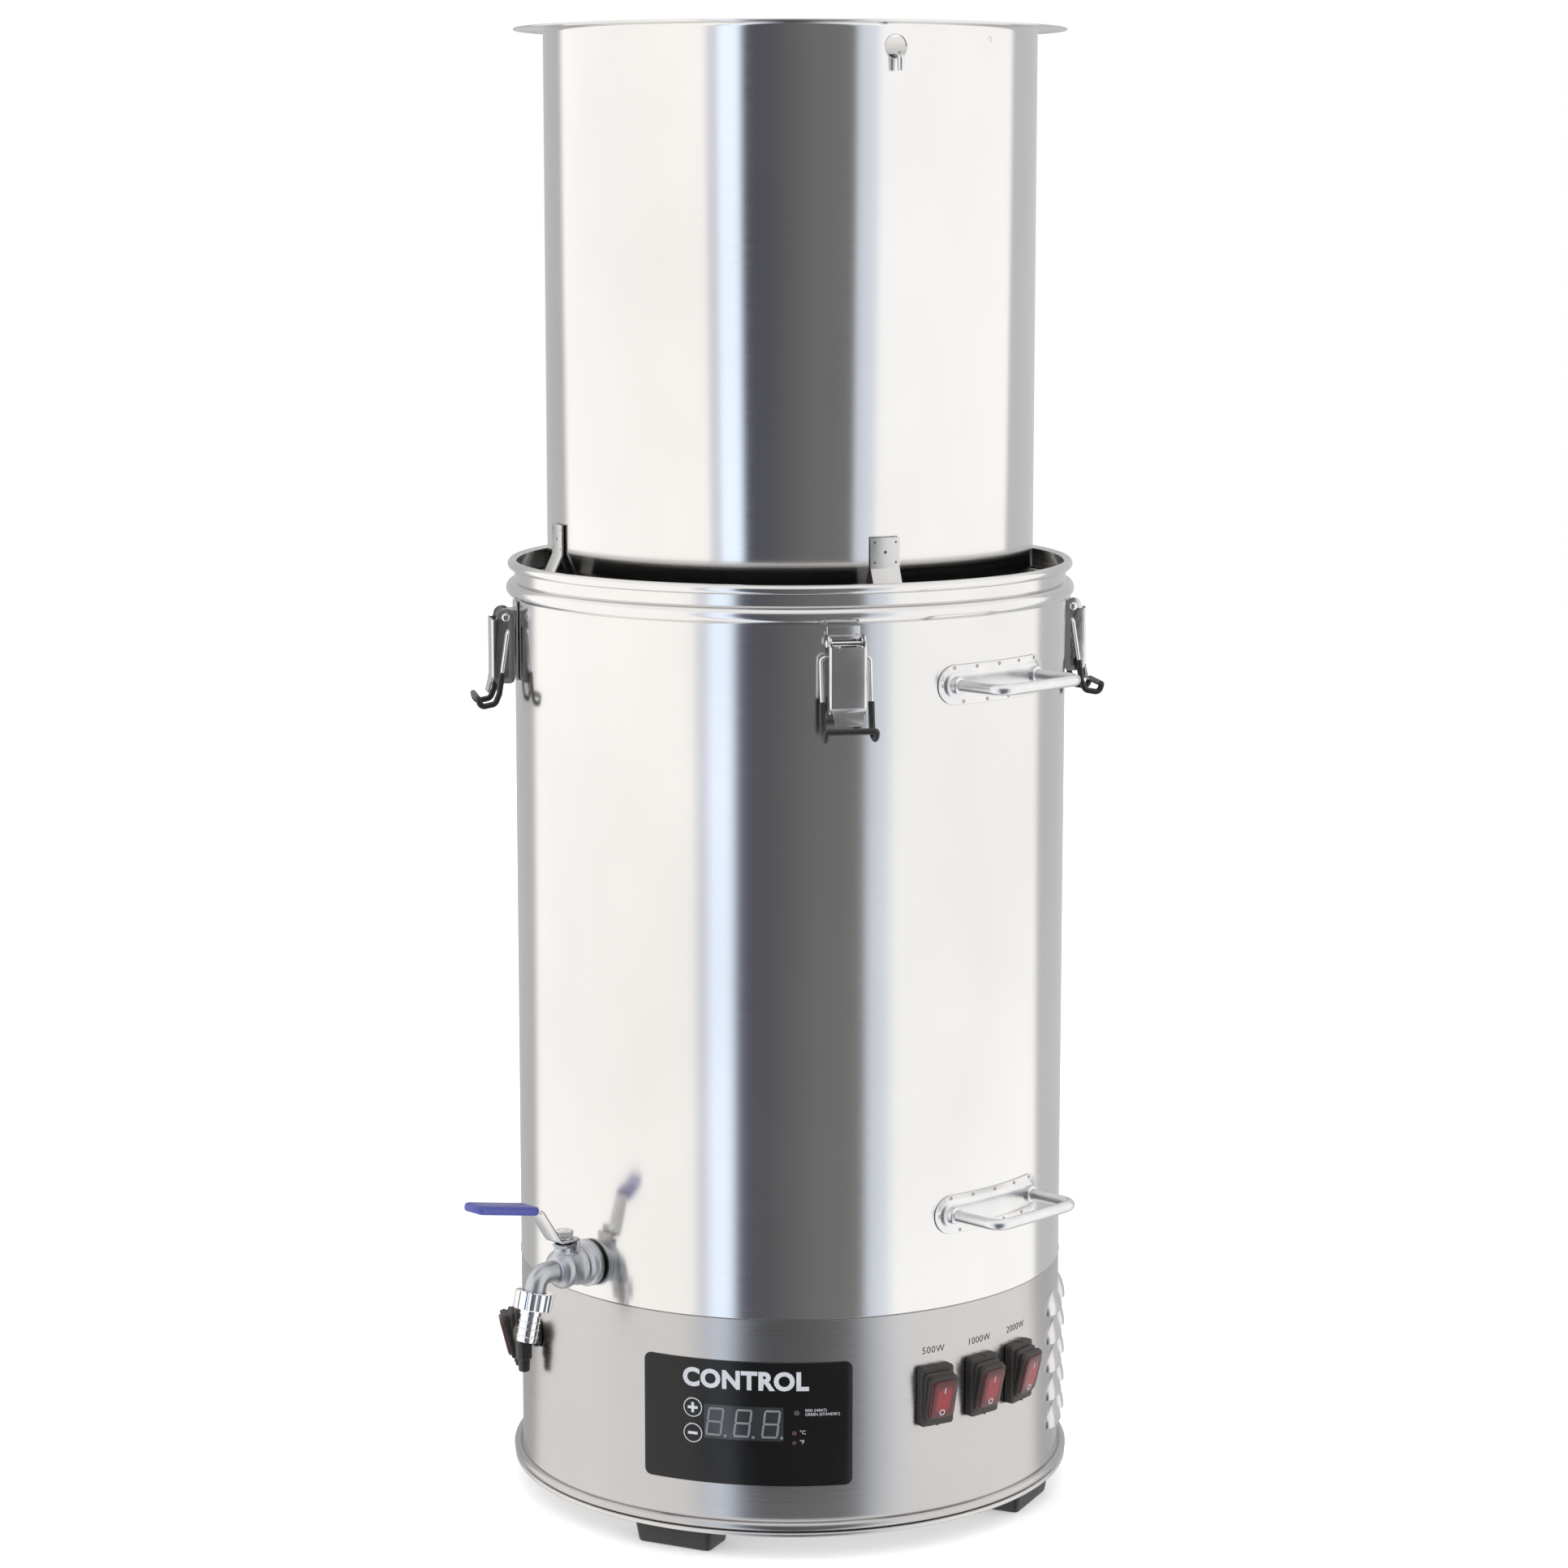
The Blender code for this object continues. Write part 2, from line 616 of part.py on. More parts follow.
def tap():
    wall = SHELL_RADIUS
    gasket = turned(
        "tap_gasket",
        [(0.0155, wall + 0.0018), (0.0155, wall + GAP), (0.0109, wall + GAP), (0.0109, wall + 0.0018)],
        RUBBER, steps=24,
    )
    tap_frame(mesh_of(gasket))
    start = wall - 0.0130
    profile = [
        (0.0060, 0.2330), (0.0115, 0.2330), (0.0140, 0.2305), (0.0140, 0.2265), (0.0128, 0.2240),
        (0.0128, 0.2160), (0.0140, 0.2140), (0.0140, 0.2070), (0.0168, 0.2065), (0.0168, 0.2021),
        (0.0104, 0.2021), (0.0104, start), (0.0060, start),
    ]
    body = mesh_of(turned("valve_body", profile, CAST, steps=18))
    stand_radial(body)
    boss = cylinder("boss", 0.0068, 0.0120, CAST, 16)
    boss.data.transform(Matrix.Translation((0.0, -STEM_RADIUS, 0.0125)))
    shaft = wire("spout", spout_points(0.2315, SPOUT_DROP), 0.0074, CAST, 3)
    body = join(body, boss, shaft)
    place(body, VALVE_AZIMUTH, 0.0, VALVE_Z)
    way = wire("way", spout_points(0.2200, 0.0300), 0.0048, None, 2)
    chamber = bmesh.new()
    bmesh.ops.create_uvsphere(chamber, u_segments=14, v_segments=8, radius=0.0099)
    bmesh.ops.translate(chamber, vec=(0, -STEM_RADIUS, 0), verts=chamber.verts)
    cutters = [bm_object("chamber", chamber, None, CUTTERS)]
    stem_hole = cylinder("stem_hole", 0.0036, 0.03, None, 12, CUTTERS)
    stem_hole.data.transform(Matrix.Translation((0.0, -STEM_RADIUS, 0.0150)))
    cutters.append(stem_hole)
    for cutter in cutters:
        cut(body, place(cutter, VALVE_AZIMUTH, 0.0, VALVE_Z))
    PARTS.objects.unlink(way)
    CUTTERS.objects.link(way)
    way.hide_render = True
    way.display_type = "WIRE"
    cut(body, place(way, VALVE_AZIMUTH, 0.0, VALVE_Z))
    smooth(body)

    nut = cylinder("tap_lock_nut", 0.0165, 0.0080, CAST, 6)
    nut_hole = cylinder("nut_hole", 0.0108, 0.02, None, 24, CUTTERS)
    for obj in (nut, nut_hole):
        obj.data.transform(Matrix.Translation((0, 0, 0.1925)))
        tap_frame(obj)
    cut(nut, nut_hole)


def valve_ball():
    """The drilled ball and its stem, with the origin on the stem's axis."""
    bm = bmesh.new()
    bmesh.ops.create_uvsphere(bm, u_segments=14, v_segments=8, radius=0.0095)
    ball = bm_object("valve_ball", bm, CHROME)
    stem = cylinder("stem", 0.0032, 0.0180, CHROME, 12)
    stem.data.transform(Matrix.Translation((0, 0, 0.0155)))
    ball = join(ball, stem)
    bore = cylinder("ball_bore", 0.0050, 0.03, None, 16, CUTTERS)
    place(stand_radial(bore), VALVE_AZIMUTH, STEM_RADIUS, VALVE_Z)
    place(ball, VALVE_AZIMUTH, STEM_RADIUS, VALVE_Z)
    cut(ball, bore)
    smooth(ball)


def valve_lever():
    """The bent strap, its sleeve and its nut turn about the stem, where their origins are."""
    sheet = 0.0022
    base_z = 0.0200
    rise = 0.0262
    line = [
        (0.0080, base_z), (-0.0085, base_z), (-0.0250, base_z + rise), (-0.0290, base_z + rise + 0.001),
        (-0.0860, base_z + rise + 0.001 + 0.0570 * GRIP_RISE),
    ]
    top = [(y, z + sheet) for y, z in line]
    side = flat_plate("valve_lever", [line + top[::-1]], 0.0160, BRUSHED)
    # The outline lies in (along, up), so it's stood on edge and turned to run along Y.
    side.data.transform(Matrix(((0, 0, 1, 0), (1, 0, 0, 0), (0, 1, 0, 0), (0, 0, 0, 1))))
    place(side, VALVE_AZIMUTH, STEM_RADIUS, VALVE_Z)
    stem_hole = cylinder("lever_hole", 0.0035, 0.02, None, 12, CUTTERS)
    cut(side, place(stem_hole, VALVE_AZIMUTH, STEM_RADIUS, VALVE_Z + base_z))
    slope = math.atan(GRIP_RISE)
    grip = flat_plate(
        "lever_grip", [rounded_outline(0.0200, 0.0062, 0.0026, 4), rounded_outline(
            0.0160 + 2 * GAP, sheet + 2 * GAP, 0.0004, 2)], 0.0580, BLUE,
    )
    tip = flat_plate("tip", [rounded_outline(0.0200, 0.0062, 0.0026, 4)], 0.0030, BLUE)
    tip.data.transform(Matrix.Translation((0, 0, 0.0300)))
    grip = join(grip, tip)
    stand_radial(grip)
    grip.data.transform(Matrix.Rotation(-slope, 4, "X"))
    middle = Vector((0.0, -0.0595, base_z + rise + 0.001 + 0.0305 * GRIP_RISE + sheet / 2))
    grip.data.transform(Matrix.Translation(middle))
    place(smooth(grip), VALVE_AZIMUTH, STEM_RADIUS, VALVE_Z)
    nut = cylinder("stem_nut", 0.0068, 0.0050, BRUSHED, 6)
    nut.data.transform(Matrix.Translation((0, 0, base_z + sheet + GAP + 0.0025)))
    nut_hole = cylinder("stem_nut_hole", 0.0035, 0.02, None, 12, CUTTERS)
    nut_hole.data.transform(Matrix.Translation((0, 0, base_z)))
    place(nut, VALVE_AZIMUTH, STEM_RADIUS, VALVE_Z)
    cut(nut, place(nut_hole, VALVE_AZIMUTH, STEM_RADIUS, VALVE_Z))


def outlet():
    """The coupling nut and the ringed hose barb below the spout."""
    nut = turned(
        "coupling_nut",
        [(0.0136, 0.0), (0.0136, -0.0130), (0.0084, -0.0130), (0.0084, 0.0)], CHROME, steps=8,
    )
    lean_frame(mesh_of(nut), NUT_DROP)
    profile = [(0.0070, 0.0)]
    for ring in range(3):
        top = -0.0110 - 0.0055 * ring
        profile += [(0.0063, top), (0.0070, top - 0.0010)]
    profile += [(0.0058, -0.0290), (0.0046, -0.0290), (0.0046, 0.0)]
    barb = mesh_of(turned("hose_barb", profile, CHROME, steps=12))
    smooth(barb)
    lean_frame(barb, SPOUT_DROP + GAP)


# Handles

def handles():
    """Each handle is a bent bar whose ends are coped to the curved plate behind it."""
    inner = SHELL_RADIUS + GAP
    outer = inner + HANDLE_PLATE_SHEET
    width = 2 * SHELL_RADIUS * math.sin(HANDLE_PLATE[0] / 2 / SHELL_RADIUS)
    outline = rounded_outline(width, HANDLE_PLATE[1], 0.0138, 7)
    half, root = HANDLE_HALF_WIDTH, SHELL_RADIUS - 0.010
    corners = [(-half, -root, 0), (-half, -HANDLE_REACH, 0), (half, -HANDLE_REACH, 0), (half, -root, 0)]
    for level, z in HANDLE_HEIGHTS.items():
        core = cylinder(f"handle_core_{level}", outer + GAP, 0.03, None, STEPS, CUTTERS)
        core.location.z = z
        for side, azimuth in (("right", HANDLE_AZIMUTH), ("left", HANDLE_AZIMUTH + 180)):
            wrapped(f"handle_plate_{level}_{side}", outline, inner, outer, azimuth, z, BRUSHED)
            bar = wire(f"handle_{level}_{side}", fillet(corners, 0.010, 5), HANDLE_BAR_RADIUS, BRUSHED, 2)
            smooth(cut(place(bar, azimuth, 0.0, z), core))


# Malt pipe

def malt_pipe():
    inner = PIPE_RADIUS - WALL
    lip = 0.0012
    profile = [(inner, FLANGE_TOP_Z), (FLANGE_RADIUS, FLANGE_TOP_Z), (FLANGE_RADIUS, FLANGE_TOP_Z - lip)]
    profile += arc((PIPE_RADIUS + 0.003, FLANGE_TOP_Z - lip - 0.003), 0.003, 90, 180, 3)
    profile += [
        (PIPE_RADIUS, PIPE_BOTTOM_Z), (0.1680, PIPE_BOTTOM_Z), (0.1680, PIPE_BOTTOM_Z + lip),
        (inner, PIPE_BOTTOM_Z + lip),
    ]
    pipe = turned("malt_pipe", profile, BRUSHED)
    for turn in (0, 180):
        hole = cylinder(f"hook_hole_{turn}", HOOK_HOLE_RADIUS, 0.03, None, 16, CUTTERS)
        place(stand_radial(hole), HOOK_HOLE_AZIMUTH + turn, PIPE_RADIUS, HOOK_HOLE_Z)
        cut(pipe, hole)
    smooth(pipe)
    low = PIPE_BOTTOM_Z + lip + GAP
    radius = inner - 0.0006
    screen = turned(
        "malt_screen", [(0, low + 0.0012), (radius, low + 0.0012), (radius, low), (0, low)],
        SHEET, closed=False,
    )
    smooth(screen)


def brackets():
    """Each bracket is one bent strip: plate on the pipe, sloping arm, and toe on the kettle's tab."""
    plate = PIPE_RADIUS + GAP + 0.0003
    toe_z = TAB_TOP_Z + GAP
    line = [
        (-plate, BRACKET_TOP_Z), (-plate, BRACKET_BEND_Z), (-TOE_RADIUS + 0.0030, toe_z), (-TOE_RADIUS, toe_z),
    ]
    outer = [
        (-TOE_RADIUS, toe_z + BRACKET_SHEET), (-TOE_RADIUS + 0.0022, toe_z + BRACKET_SHEET),
        (-plate - BRACKET_SHEET, BRACKET_BEND_Z + 0.0004), (-plate - BRACKET_SHEET, BRACKET_TOP_Z),
    ]
    for number, turn in enumerate(QUARTERS, 1):
        strip = flat_plate(f"pipe_bracket_{number}", [line + outer], BRACKET_WIDTH, SHEET)
        strip.data.transform(Matrix(((0, 0, 1, 0), (1, 0, 0, 0), (0, 1, 0, 0), (0, 0, 0, 1))))
        place(strip, BRACKET_AZIMUTH + turn, 0.0, 0.0)


def lifting_bail():
    """The bail hangs inside the pipe, its two hooked ends through the holes on its hinge line."""
    hook = PIPE_RADIUS + 0.0075
    swing = 0.1640
    drop = 0.0110
    half = [(hook, 0.0, -drop), (hook, 0.0, 0.0), (swing, 0.0, 0.0)]
    inside = [
        (swing * math.cos(angle), 0.0, -swing * math.sin(angle))
        for angle in (math.pi * i / 16 for i in range(1, 16))
    ]
    start = fillet(half, 0.0035, 4)[:-1]
    end = [(-x, y, z) for x, y, z in start[::-1]]
    path = start + [(swing, 0.0, 0.0)] + inside + [(-swing, 0.0, 0.0)] + end
    bail = wire("lifting_bail", path, BAIL_WIRE_RADIUS, BRUSHED, 1)
    bail.location = (0.0, 0.0, HOOK_HOLE_Z - HOOK_HOLE_RADIUS + BAIL_WIRE_RADIUS + 0.0005)
    bail.rotation_euler = (0.0, 0.0, math.radians(HOOK_HOLE_AZIMUTH - 90))
    smooth(bail)


# Latches, made about the pin: -Y is outwards and the pin lies along X

def latch_base(number, azimuth):
    back = LATCH_PIN_RADIUS - SHELL_RADIUS - GAP - 0.0002
    half = 0.0114
    plate = box(
        f"latch_base_{number}", (-half, back - 0.0012, -0.0460), (half, back, 0.0110), BRUSHED
    )
    pieces = []
    for side in (-1, 1):
        edge, inside = side * half, side * (half - 0.0012)
        low, high = min(edge, inside), max(edge, inside)
        pieces.append(box("ear", (low, -0.0036, -0.0070), (high, back - 0.0010, 0.0046), BRUSHED))
        head = cylinder("head", 0.0030, 0.0010, BRUSHED, 12)
        head.data.transform(Matrix.Rotation(math.radians(90), 4, "Y"))
        head.data.transform(Matrix.Translation((side * 0.0139, 0, 0)))
        pieces.append(head)
    pin = cylinder("pin", LATCH_PIN_THICKNESS, 0.0278, BRUSHED, 12)
    pin.data.transform(Matrix.Rotation(math.radians(90), 4, "Y"))
    base = join(plate, pin, *pieces)
    place(base, azimuth, LATCH_PIN_RADIUS, LATCH_PIN_Z)


def latch_lever(number, azimuth):
    face = -0.0103
    outline = arc((0.0, 0.0), 0.0066, 0, 180, 8)
    outline = [(-x, z) for x, z in outline]
    side_points = outline + [(0.0064, -0.0450), (0.0036, -0.0480), (face + 0.0010, -0.0480)]
    side_points += [(face + 0.0010, -0.0020)]
    pin_hole = circle_points((0.0, 0.0), LATCH_PIN_THICKNESS + 0.0004, 12)
    wire_hole = circle_points((0.0012, -0.0095), WIRE_RADIUS + 0.0004, 10)
    upright = Matrix(((0, 0, 1, 0), (1, 0, 0, 0), (0, 1, 0, 0), (0, 0, 0, 1)))
    sides = []
    for side in (-1, 1):
        flange = flat_plate("flange", [side_points, pin_hole, wire_hole], 0.0012, CHROME)
        flange.data.transform(Matrix.Translation((side * 0.0124, 0, 0)) @ upright)
        sides.append(flange)
    front = box(
        f"latch_lever_{number}", (-0.0132, face, -0.0440), (0.0132, face + 0.0012, -0.0010), CHROME
    )
    tab = box("tab", (-0.0100, -0.0006, -0.0120), (0.0100, 0.0006, 0.0), CHROME)
    tab.data.transform(Matrix.Rotation(math.radians(-14), 4, "X"))
    tab.data.transform(Matrix.Translation((0, face + 0.0006, -0.0432)))
    lever = join(front, tab, *sides)
    place(lever, azimuth, LATCH_PIN_RADIUS, LATCH_PIN_Z)


def latch_bail(number, azimuth):
    """The wire loop pivots in the lever's lower holes and hangs with its hook turned outwards."""
    half = [
        (0.0106, 0.0, 0.0), (0.0170, 0.0, 0.0), (0.0170, -0.0068, -0.0450),
        (0.0170, -0.0098, -0.0522), (0.0170, -0.0202, -0.0542), (0.0174, -0.0222, -0.0480),
    ]
    right = fillet(half, 0.0030, 2)
    slim = [1.0 if point.z > -0.030 else SLEEVE_RADIUS / WIRE_RADIUS for point in right]
    knee = next(i for i, scale in enumerate(slim) if scale > 1.0)
    before, after = right[knee - 1], right[knee]
    for share, scale in ((0.50, 1.0), (0.52, slim[knee])):
        right.insert(knee, before.lerp(after, share))
        slim.insert(knee, scale)
        knee += 1
    left = [Vector((-point.x, point.y, point.z)) for point in reversed(right)]
    path = right + left
    scales = slim + slim[::-1]
    bail = wire(f"latch_bail_{number}", path, WIRE_RADIUS, BLACK, 1, scales)
    place(smooth(bail), azimuth, LATCH_PIN_RADIUS - 0.0012, LATCH_PIN_Z - 0.0095)


def latches():
    for number, turn in enumerate(QUARTERS, 1):
        azimuth = LATCH_AZIMUTH + turn
        latch_base(number, azimuth)
        latch_lever(number, azimuth)
        latch_bail(number, azimuth)


def cord_gland():
    """The mains lead's elbow gland: a short barrel through the skirt and a stepped spout downwards."""
    barrel = cylinder("cord_gland", 0.0074, 0.0300, BLACK, 16)
    stand_radial(barrel)
    barrel.data.transform(Matrix.Translation((0, -0.2010, 0)))
    upper = cylinder("upper", 0.0058, 0.0190, BLACK, 16)
    upper.data.transform(Matrix.Translation((0, -0.2110, -0.0095)))
    lower = cylinder("lower", 0.0043, 0.0260, BLACK, 12)
    lower.data.transform(Matrix.Translation((0, -0.2110, -0.0150)))
    place(smooth(join(barrel, upper, lower)), GLAND_AZIMUTH, 0.0, GLAND_Z)


kettle_shell()
kettle_floor()
heating_elements()
base_skirt()
base_pan()
feet()
control_panel()
buttons()
switches()
tap()
valve_ball()
valve_lever()
outlet()
handles()
malt_pipe()
brackets()
lifting_bail()
latches()
cord_gland()
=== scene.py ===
"""Looks for the electric brewing kettle: its fine meshes, its finishes, the studio and the camera.

Lengths are in metres and +Z is up. An azimuth is in degrees from -Y towards +X, seen from above.
A piece that is made "facing out" has -Y outwards and +X to its right, and is then turned to its azimuth.
"""

import json
import math

import bmesh
import bpy
from mathutils import Matrix, Vector


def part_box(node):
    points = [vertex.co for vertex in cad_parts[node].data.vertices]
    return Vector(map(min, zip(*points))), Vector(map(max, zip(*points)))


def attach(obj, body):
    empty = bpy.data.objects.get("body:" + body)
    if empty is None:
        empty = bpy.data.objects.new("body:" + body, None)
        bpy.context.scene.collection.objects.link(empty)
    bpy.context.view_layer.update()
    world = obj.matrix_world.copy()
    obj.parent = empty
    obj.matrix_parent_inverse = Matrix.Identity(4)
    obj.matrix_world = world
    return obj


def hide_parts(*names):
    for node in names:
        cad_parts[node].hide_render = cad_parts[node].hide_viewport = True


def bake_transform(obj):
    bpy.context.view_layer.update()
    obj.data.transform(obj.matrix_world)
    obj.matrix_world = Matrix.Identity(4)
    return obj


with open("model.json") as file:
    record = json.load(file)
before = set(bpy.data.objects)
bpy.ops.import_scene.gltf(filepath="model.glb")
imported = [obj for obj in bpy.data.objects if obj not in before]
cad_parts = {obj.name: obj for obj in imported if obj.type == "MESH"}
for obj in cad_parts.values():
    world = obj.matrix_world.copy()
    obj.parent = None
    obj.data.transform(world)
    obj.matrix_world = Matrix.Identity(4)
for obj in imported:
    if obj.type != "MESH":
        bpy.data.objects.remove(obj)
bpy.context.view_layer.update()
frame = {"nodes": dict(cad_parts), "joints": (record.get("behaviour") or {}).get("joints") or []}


def middle(node):
    low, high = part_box(node)
    return (low + high) / 2


def azimuth_of(point):
    return math.degrees(math.atan2(point[0], -point[1]))


JOINTS = {joint["name"]: joint for joint in frame["joints"]}

# Places taken from the frame
SEAM_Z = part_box("base_skirt")[1].z
FLANGE_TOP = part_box("malt_pipe")[1].z
PIPE_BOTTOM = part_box("malt_pipe")[0].z
SOLE_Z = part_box("foot_1")[0].z
PANEL_LOW, PANEL_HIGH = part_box("control_panel")
LATCHES = [JOINTS[f"latch_lever_{n}_hinge"]["pos_m"] for n in (1, 2, 3, 4)]
TAP_STEM = Vector(JOINTS["tap_turn"]["pos_m"])
TAP_AZIMUTH = azimuth_of(TAP_STEM)
STEM_RADIUS = TAP_STEM.xy.length
ROCKERS = {name: JOINTS[f"rocker_{name}_tilt"]["pos_m"] for name in ("500w", "1000w", "2000w", "main")}

# Driving dimensions
SHELL_RADIUS = 0.200
WALL = 0.0010
STEPS = 240
BEAD_Z = 0.6508
RIM_Z = 0.6682
RIM_CENTRE = 0.2012
CURL_RADIUS = 0.0035
RIB_RADIUS = 0.0057
RIB_CENTRE = 0.2003
PIPE_RADIUS = 0.1758
FLANGE_RADIUS = 0.1970
HOOK_AZIMUTH = 32.9
HOOK_HOLE_Z = 1.0308
HOOK_HOLE_RADIUS = 0.0080
BRACKET_AZIMUTH = 30.5
HANDLE_AZIMUTH = 55.2
PANEL_WIDTH = 0.1510
PANEL_CORNER = 0.0050
FILM_FRONT = 0.0012
WINDOW_Z = 0.0824
SPOUT_TURN = 0.2500
SPOUT_LEAN = math.radians(14)
LOUVRE_AZIMUTHS = (84.5, 98.0)
LOUVRE_PITCH = 0.0213
LOUVRE_LOWEST_Z = 0.0357
LOUVRE_LENGTH = 0.0380
LOUVRE_HEIGHT = 0.0150
LOUVRE_DEPTH = 0.0050
FOOT_LENGTH, FOOT_WIDTH = 0.0605, 0.0325
ROCKER_TILT = 14
LATCH_HALF_WIDTH = 0.0114
QUARTERS = (0, 90, 180, 270)


# Geometry

def outward(azimuth, radius=1.0, z=0.0):
    angle = math.radians(azimuth)
    return Vector((radius * math.sin(angle), -radius * math.cos(angle), z))


def at(azimuth, radius=0.0, z=0.0):
    """The matrix that puts a piece made facing out at this azimuth, radius and height."""
    return Matrix.Translation(outward(azimuth, radius, z)) @ Matrix.Rotation(math.radians(azimuth), 4, "Z")


FACE_OUT = Matrix.Rotation(math.radians(90), 4, "X")
ALONG_X = Matrix.Rotation(math.radians(90), 4, "Y")


def shift(x, y, z):
    return Matrix.Translation((x, y, z))


def arc(centre, radius, start, end, count):
    angles = [math.radians(start + (end - start) * i / (count - 1)) for i in range(count)]
    return [(centre[0] + radius * math.cos(a), centre[1] + radius * math.sin(a)) for a in angles]


def circle(radius, sides):
    return arc((0, 0), radius, 0, 360 - 360 / sides, sides)


def rounded(width, height, radius, per_corner=8):
    """A rectangle with round corners, as (x, y) points."""
    across, up = width / 2 - radius, height / 2 - radius
    points = []
    for x, y, start in ((1, 1, 0), (-1, 1, 90), (-1, -1, 180), (1, -1, 270)):
        points += arc((x * across, y * up), radius, start, start + 90, per_corner)
    return points


def bridge(bm, first, second):
    count = len(first)
    for i in range(count):
        j = (i + 1) % count
        bm.faces.new((first[i], first[j], second[j], second[i]))


def lathe(profile, steps=STEPS, closed=True):
    """A solid turned round Z from (radius, height) points. A point at radius 0 closes an end."""
    bm = bmesh.new()
    rings = []
    for radius, z in profile:
        if radius < 1e-6:
            rings.append([bm.verts.new((0, 0, z))])
            continue
        rings.append([
            bm.verts.new(outward(360 * i / steps, radius, z)) for i in range(steps)
        ])
    pairs = list(zip(rings, rings[1:])) + ([(rings[-1], rings[0])] if closed else [])
    for first, second in pairs:
        if len(first) == len(second) == 1:
            continue
        if len(first) > 1 and len(second) > 1:
            bridge(bm, first, second)
            continue
        tip, ring = (first[0], second) if len(first) == 1 else (second[0], first)
        for i in range(steps):
            bm.faces.new((tip, ring[i], ring[(i + 1) % steps]))
    return bm


def mirrored(point):
    return Vector((-point.x, point.y, point.z))


def solid(profile, steps=STEPS):
    """A solid turned from a profile that starts and ends on the axis."""
    return lathe(profile, steps, closed=False)


def fillet(points, radius, count=8):
    """The path with each inner corner rounded."""
    points = [Vector(p) for p in points]
    path = [points[0]]
    for before, corner, after in zip(points, points[1:], points[2:]):
        a, b = (before - corner).normalized(), (after - corner).normalized()
        half = a.angle(b) / 2
        reach = min(radius / math.tan(half), 0.49 * (before - corner).length, 0.49 * (after - corner).length)
        bend = reach * math.tan(half)
        centre = corner + (a + b).normalized() * (bend / math.sin(half))
        start, end = corner + a * reach - centre, corner + b * reach - centre
        turn = start.angle(end)
        for i in range(count):
            share = i / (count - 1)
            spot = start * math.sin((1 - share) * turn) + end * math.sin(share * turn)
            path.append(centre + spot / math.sin(turn))
    return path + [points[-1]]


def sweep(path, section, side=None, scales=None, closed=False):
    """A section of (across, over) points carried along a path. side is the first point's across direction."""
    path = [Vector(p) for p in path]
    count = len(path)
    scales = scales or [1.0] * count
    bm = bmesh.new()
    rings = []
    across = Vector(side) if side else None
    for i, point in enumerate(path):
        before = path[(i - 1) % count] if closed else path[max(i - 1, 0)]
        after = path[(i + 1) % count] if closed else path[min(i + 1, count - 1)]
        tangent = (after - before).normalized()
        if across is None:
            across = tangent.orthogonal()
        across = (across - tangent * across.dot(tangent)).normalized()
        over = tangent.cross(across)
        rings.append([
            bm.verts.new(point + (across * u + over * v) * scales[i]) for u, v in section
        ])
    for first, second in zip(rings, rings[1:]):
        bridge(bm, first, second)
    if closed:
        bridge(bm, rings[-1], rings[0])
    else:
        bm.faces.new(rings[0][::-1])
        bm.faces.new(rings[-1])
    return bm


def layers(outlines):
    """A solid stacked from outlines of (x, y, z) points with the same number of points each."""
    bm = bmesh.new()
    rings = [[bm.verts.new(p) for p in outline] for outline in outlines]
    for first, second in zip(rings, rings[1:]):
        bridge(bm, first, second)
    bm.faces.new(rings[0][::-1])
    bm.faces.new(rings[-1])
    return bm


def slab(outline_of, depth, edge, segments=3):
    """A plate facing out between y = 0 and y = -depth, with its front edge rounded.

    outline_of(inset) gives its (x, z) outline drawn in by that much.
    """
    stations = [(0.0, 0.0), (0.0, depth - edge)]
    for i in range(1, segments + 1):
        turn = math.pi / 2 * i / segments
        stations.append((edge * (1 - math.cos(turn)), depth - edge + edge * math.sin(turn)))
    return layers([[(x, -out, z) for x, z in outline_of(inset)] for inset, out in stations])


def rounded_slab(width, height, corner, depth, edge, per_corner=8, segments=3):
    def outline(inset):
        return rounded(width - 2 * inset, height - 2 * inset, max(corner - inset, 0.0002), per_corner)
    return slab(outline, depth, edge, segments)


def soft_box(low, high, bevel, segments=3):
    bm = bmesh.new()
    bmesh.ops.create_cube(bm, size=1.0)
    low, high = Vector(low), Vector(high)
    bmesh.ops.scale(bm, vec=high - low, verts=bm.verts)
    bmesh.ops.translate(bm, vec=(low + high) / 2, verts=bm.verts)
    bmesh.ops.bevel(bm, geom=bm.edges[:], offset=bevel, segments=segments, affect="EDGES", profile=0.5)
    return bm


def moved(bm, matrix):
    bm.transform(matrix)
    return bm


def merged(*parts):
    """The parts as one mesh, each still closed in itself."""
    whole = bmesh.new()
    for part in parts:
        mesh = bpy.data.meshes.new("part")
        part.to_mesh(mesh)
        part.free()
        whole.from_mesh(mesh)
        bpy.data.meshes.remove(mesh)
    return whole


def wrap(bm, azimuth=0.0, radius=SHELL_RADIUS):
    """Bends a flat piece facing out, with y = 0 on the wall, round the kettle."""
    for vert in bm.verts:
        x, y, z = vert.co
        vert.co = outward(azimuth + math.degrees(x / radius), radius - y, z)
    return bm


def split_columns(bm, step):
    """Cuts a flat piece into upright strips, so that it bends evenly."""
    xs = [vert.co.x for vert in bm.verts]
    cuts = int((max(xs) - min(xs)) / step)
    for i in range(1, cuts + 1):
        geometry = bm.verts[:] + bm.edges[:] + bm.faces[:]
        x = min(xs) + (max(xs) - min(xs)) * i / (cuts + 1)
        bmesh.ops.bisect_plane(bm, geom=geometry, plane_co=(x, 0, 0), plane_no=(1, 0, 0), dist=1e-7)
    return bm


def linked(name, data):
    obj = bpy.data.objects.new(name, data)
    bpy.context.scene.collection.objects.link(obj)
    return obj


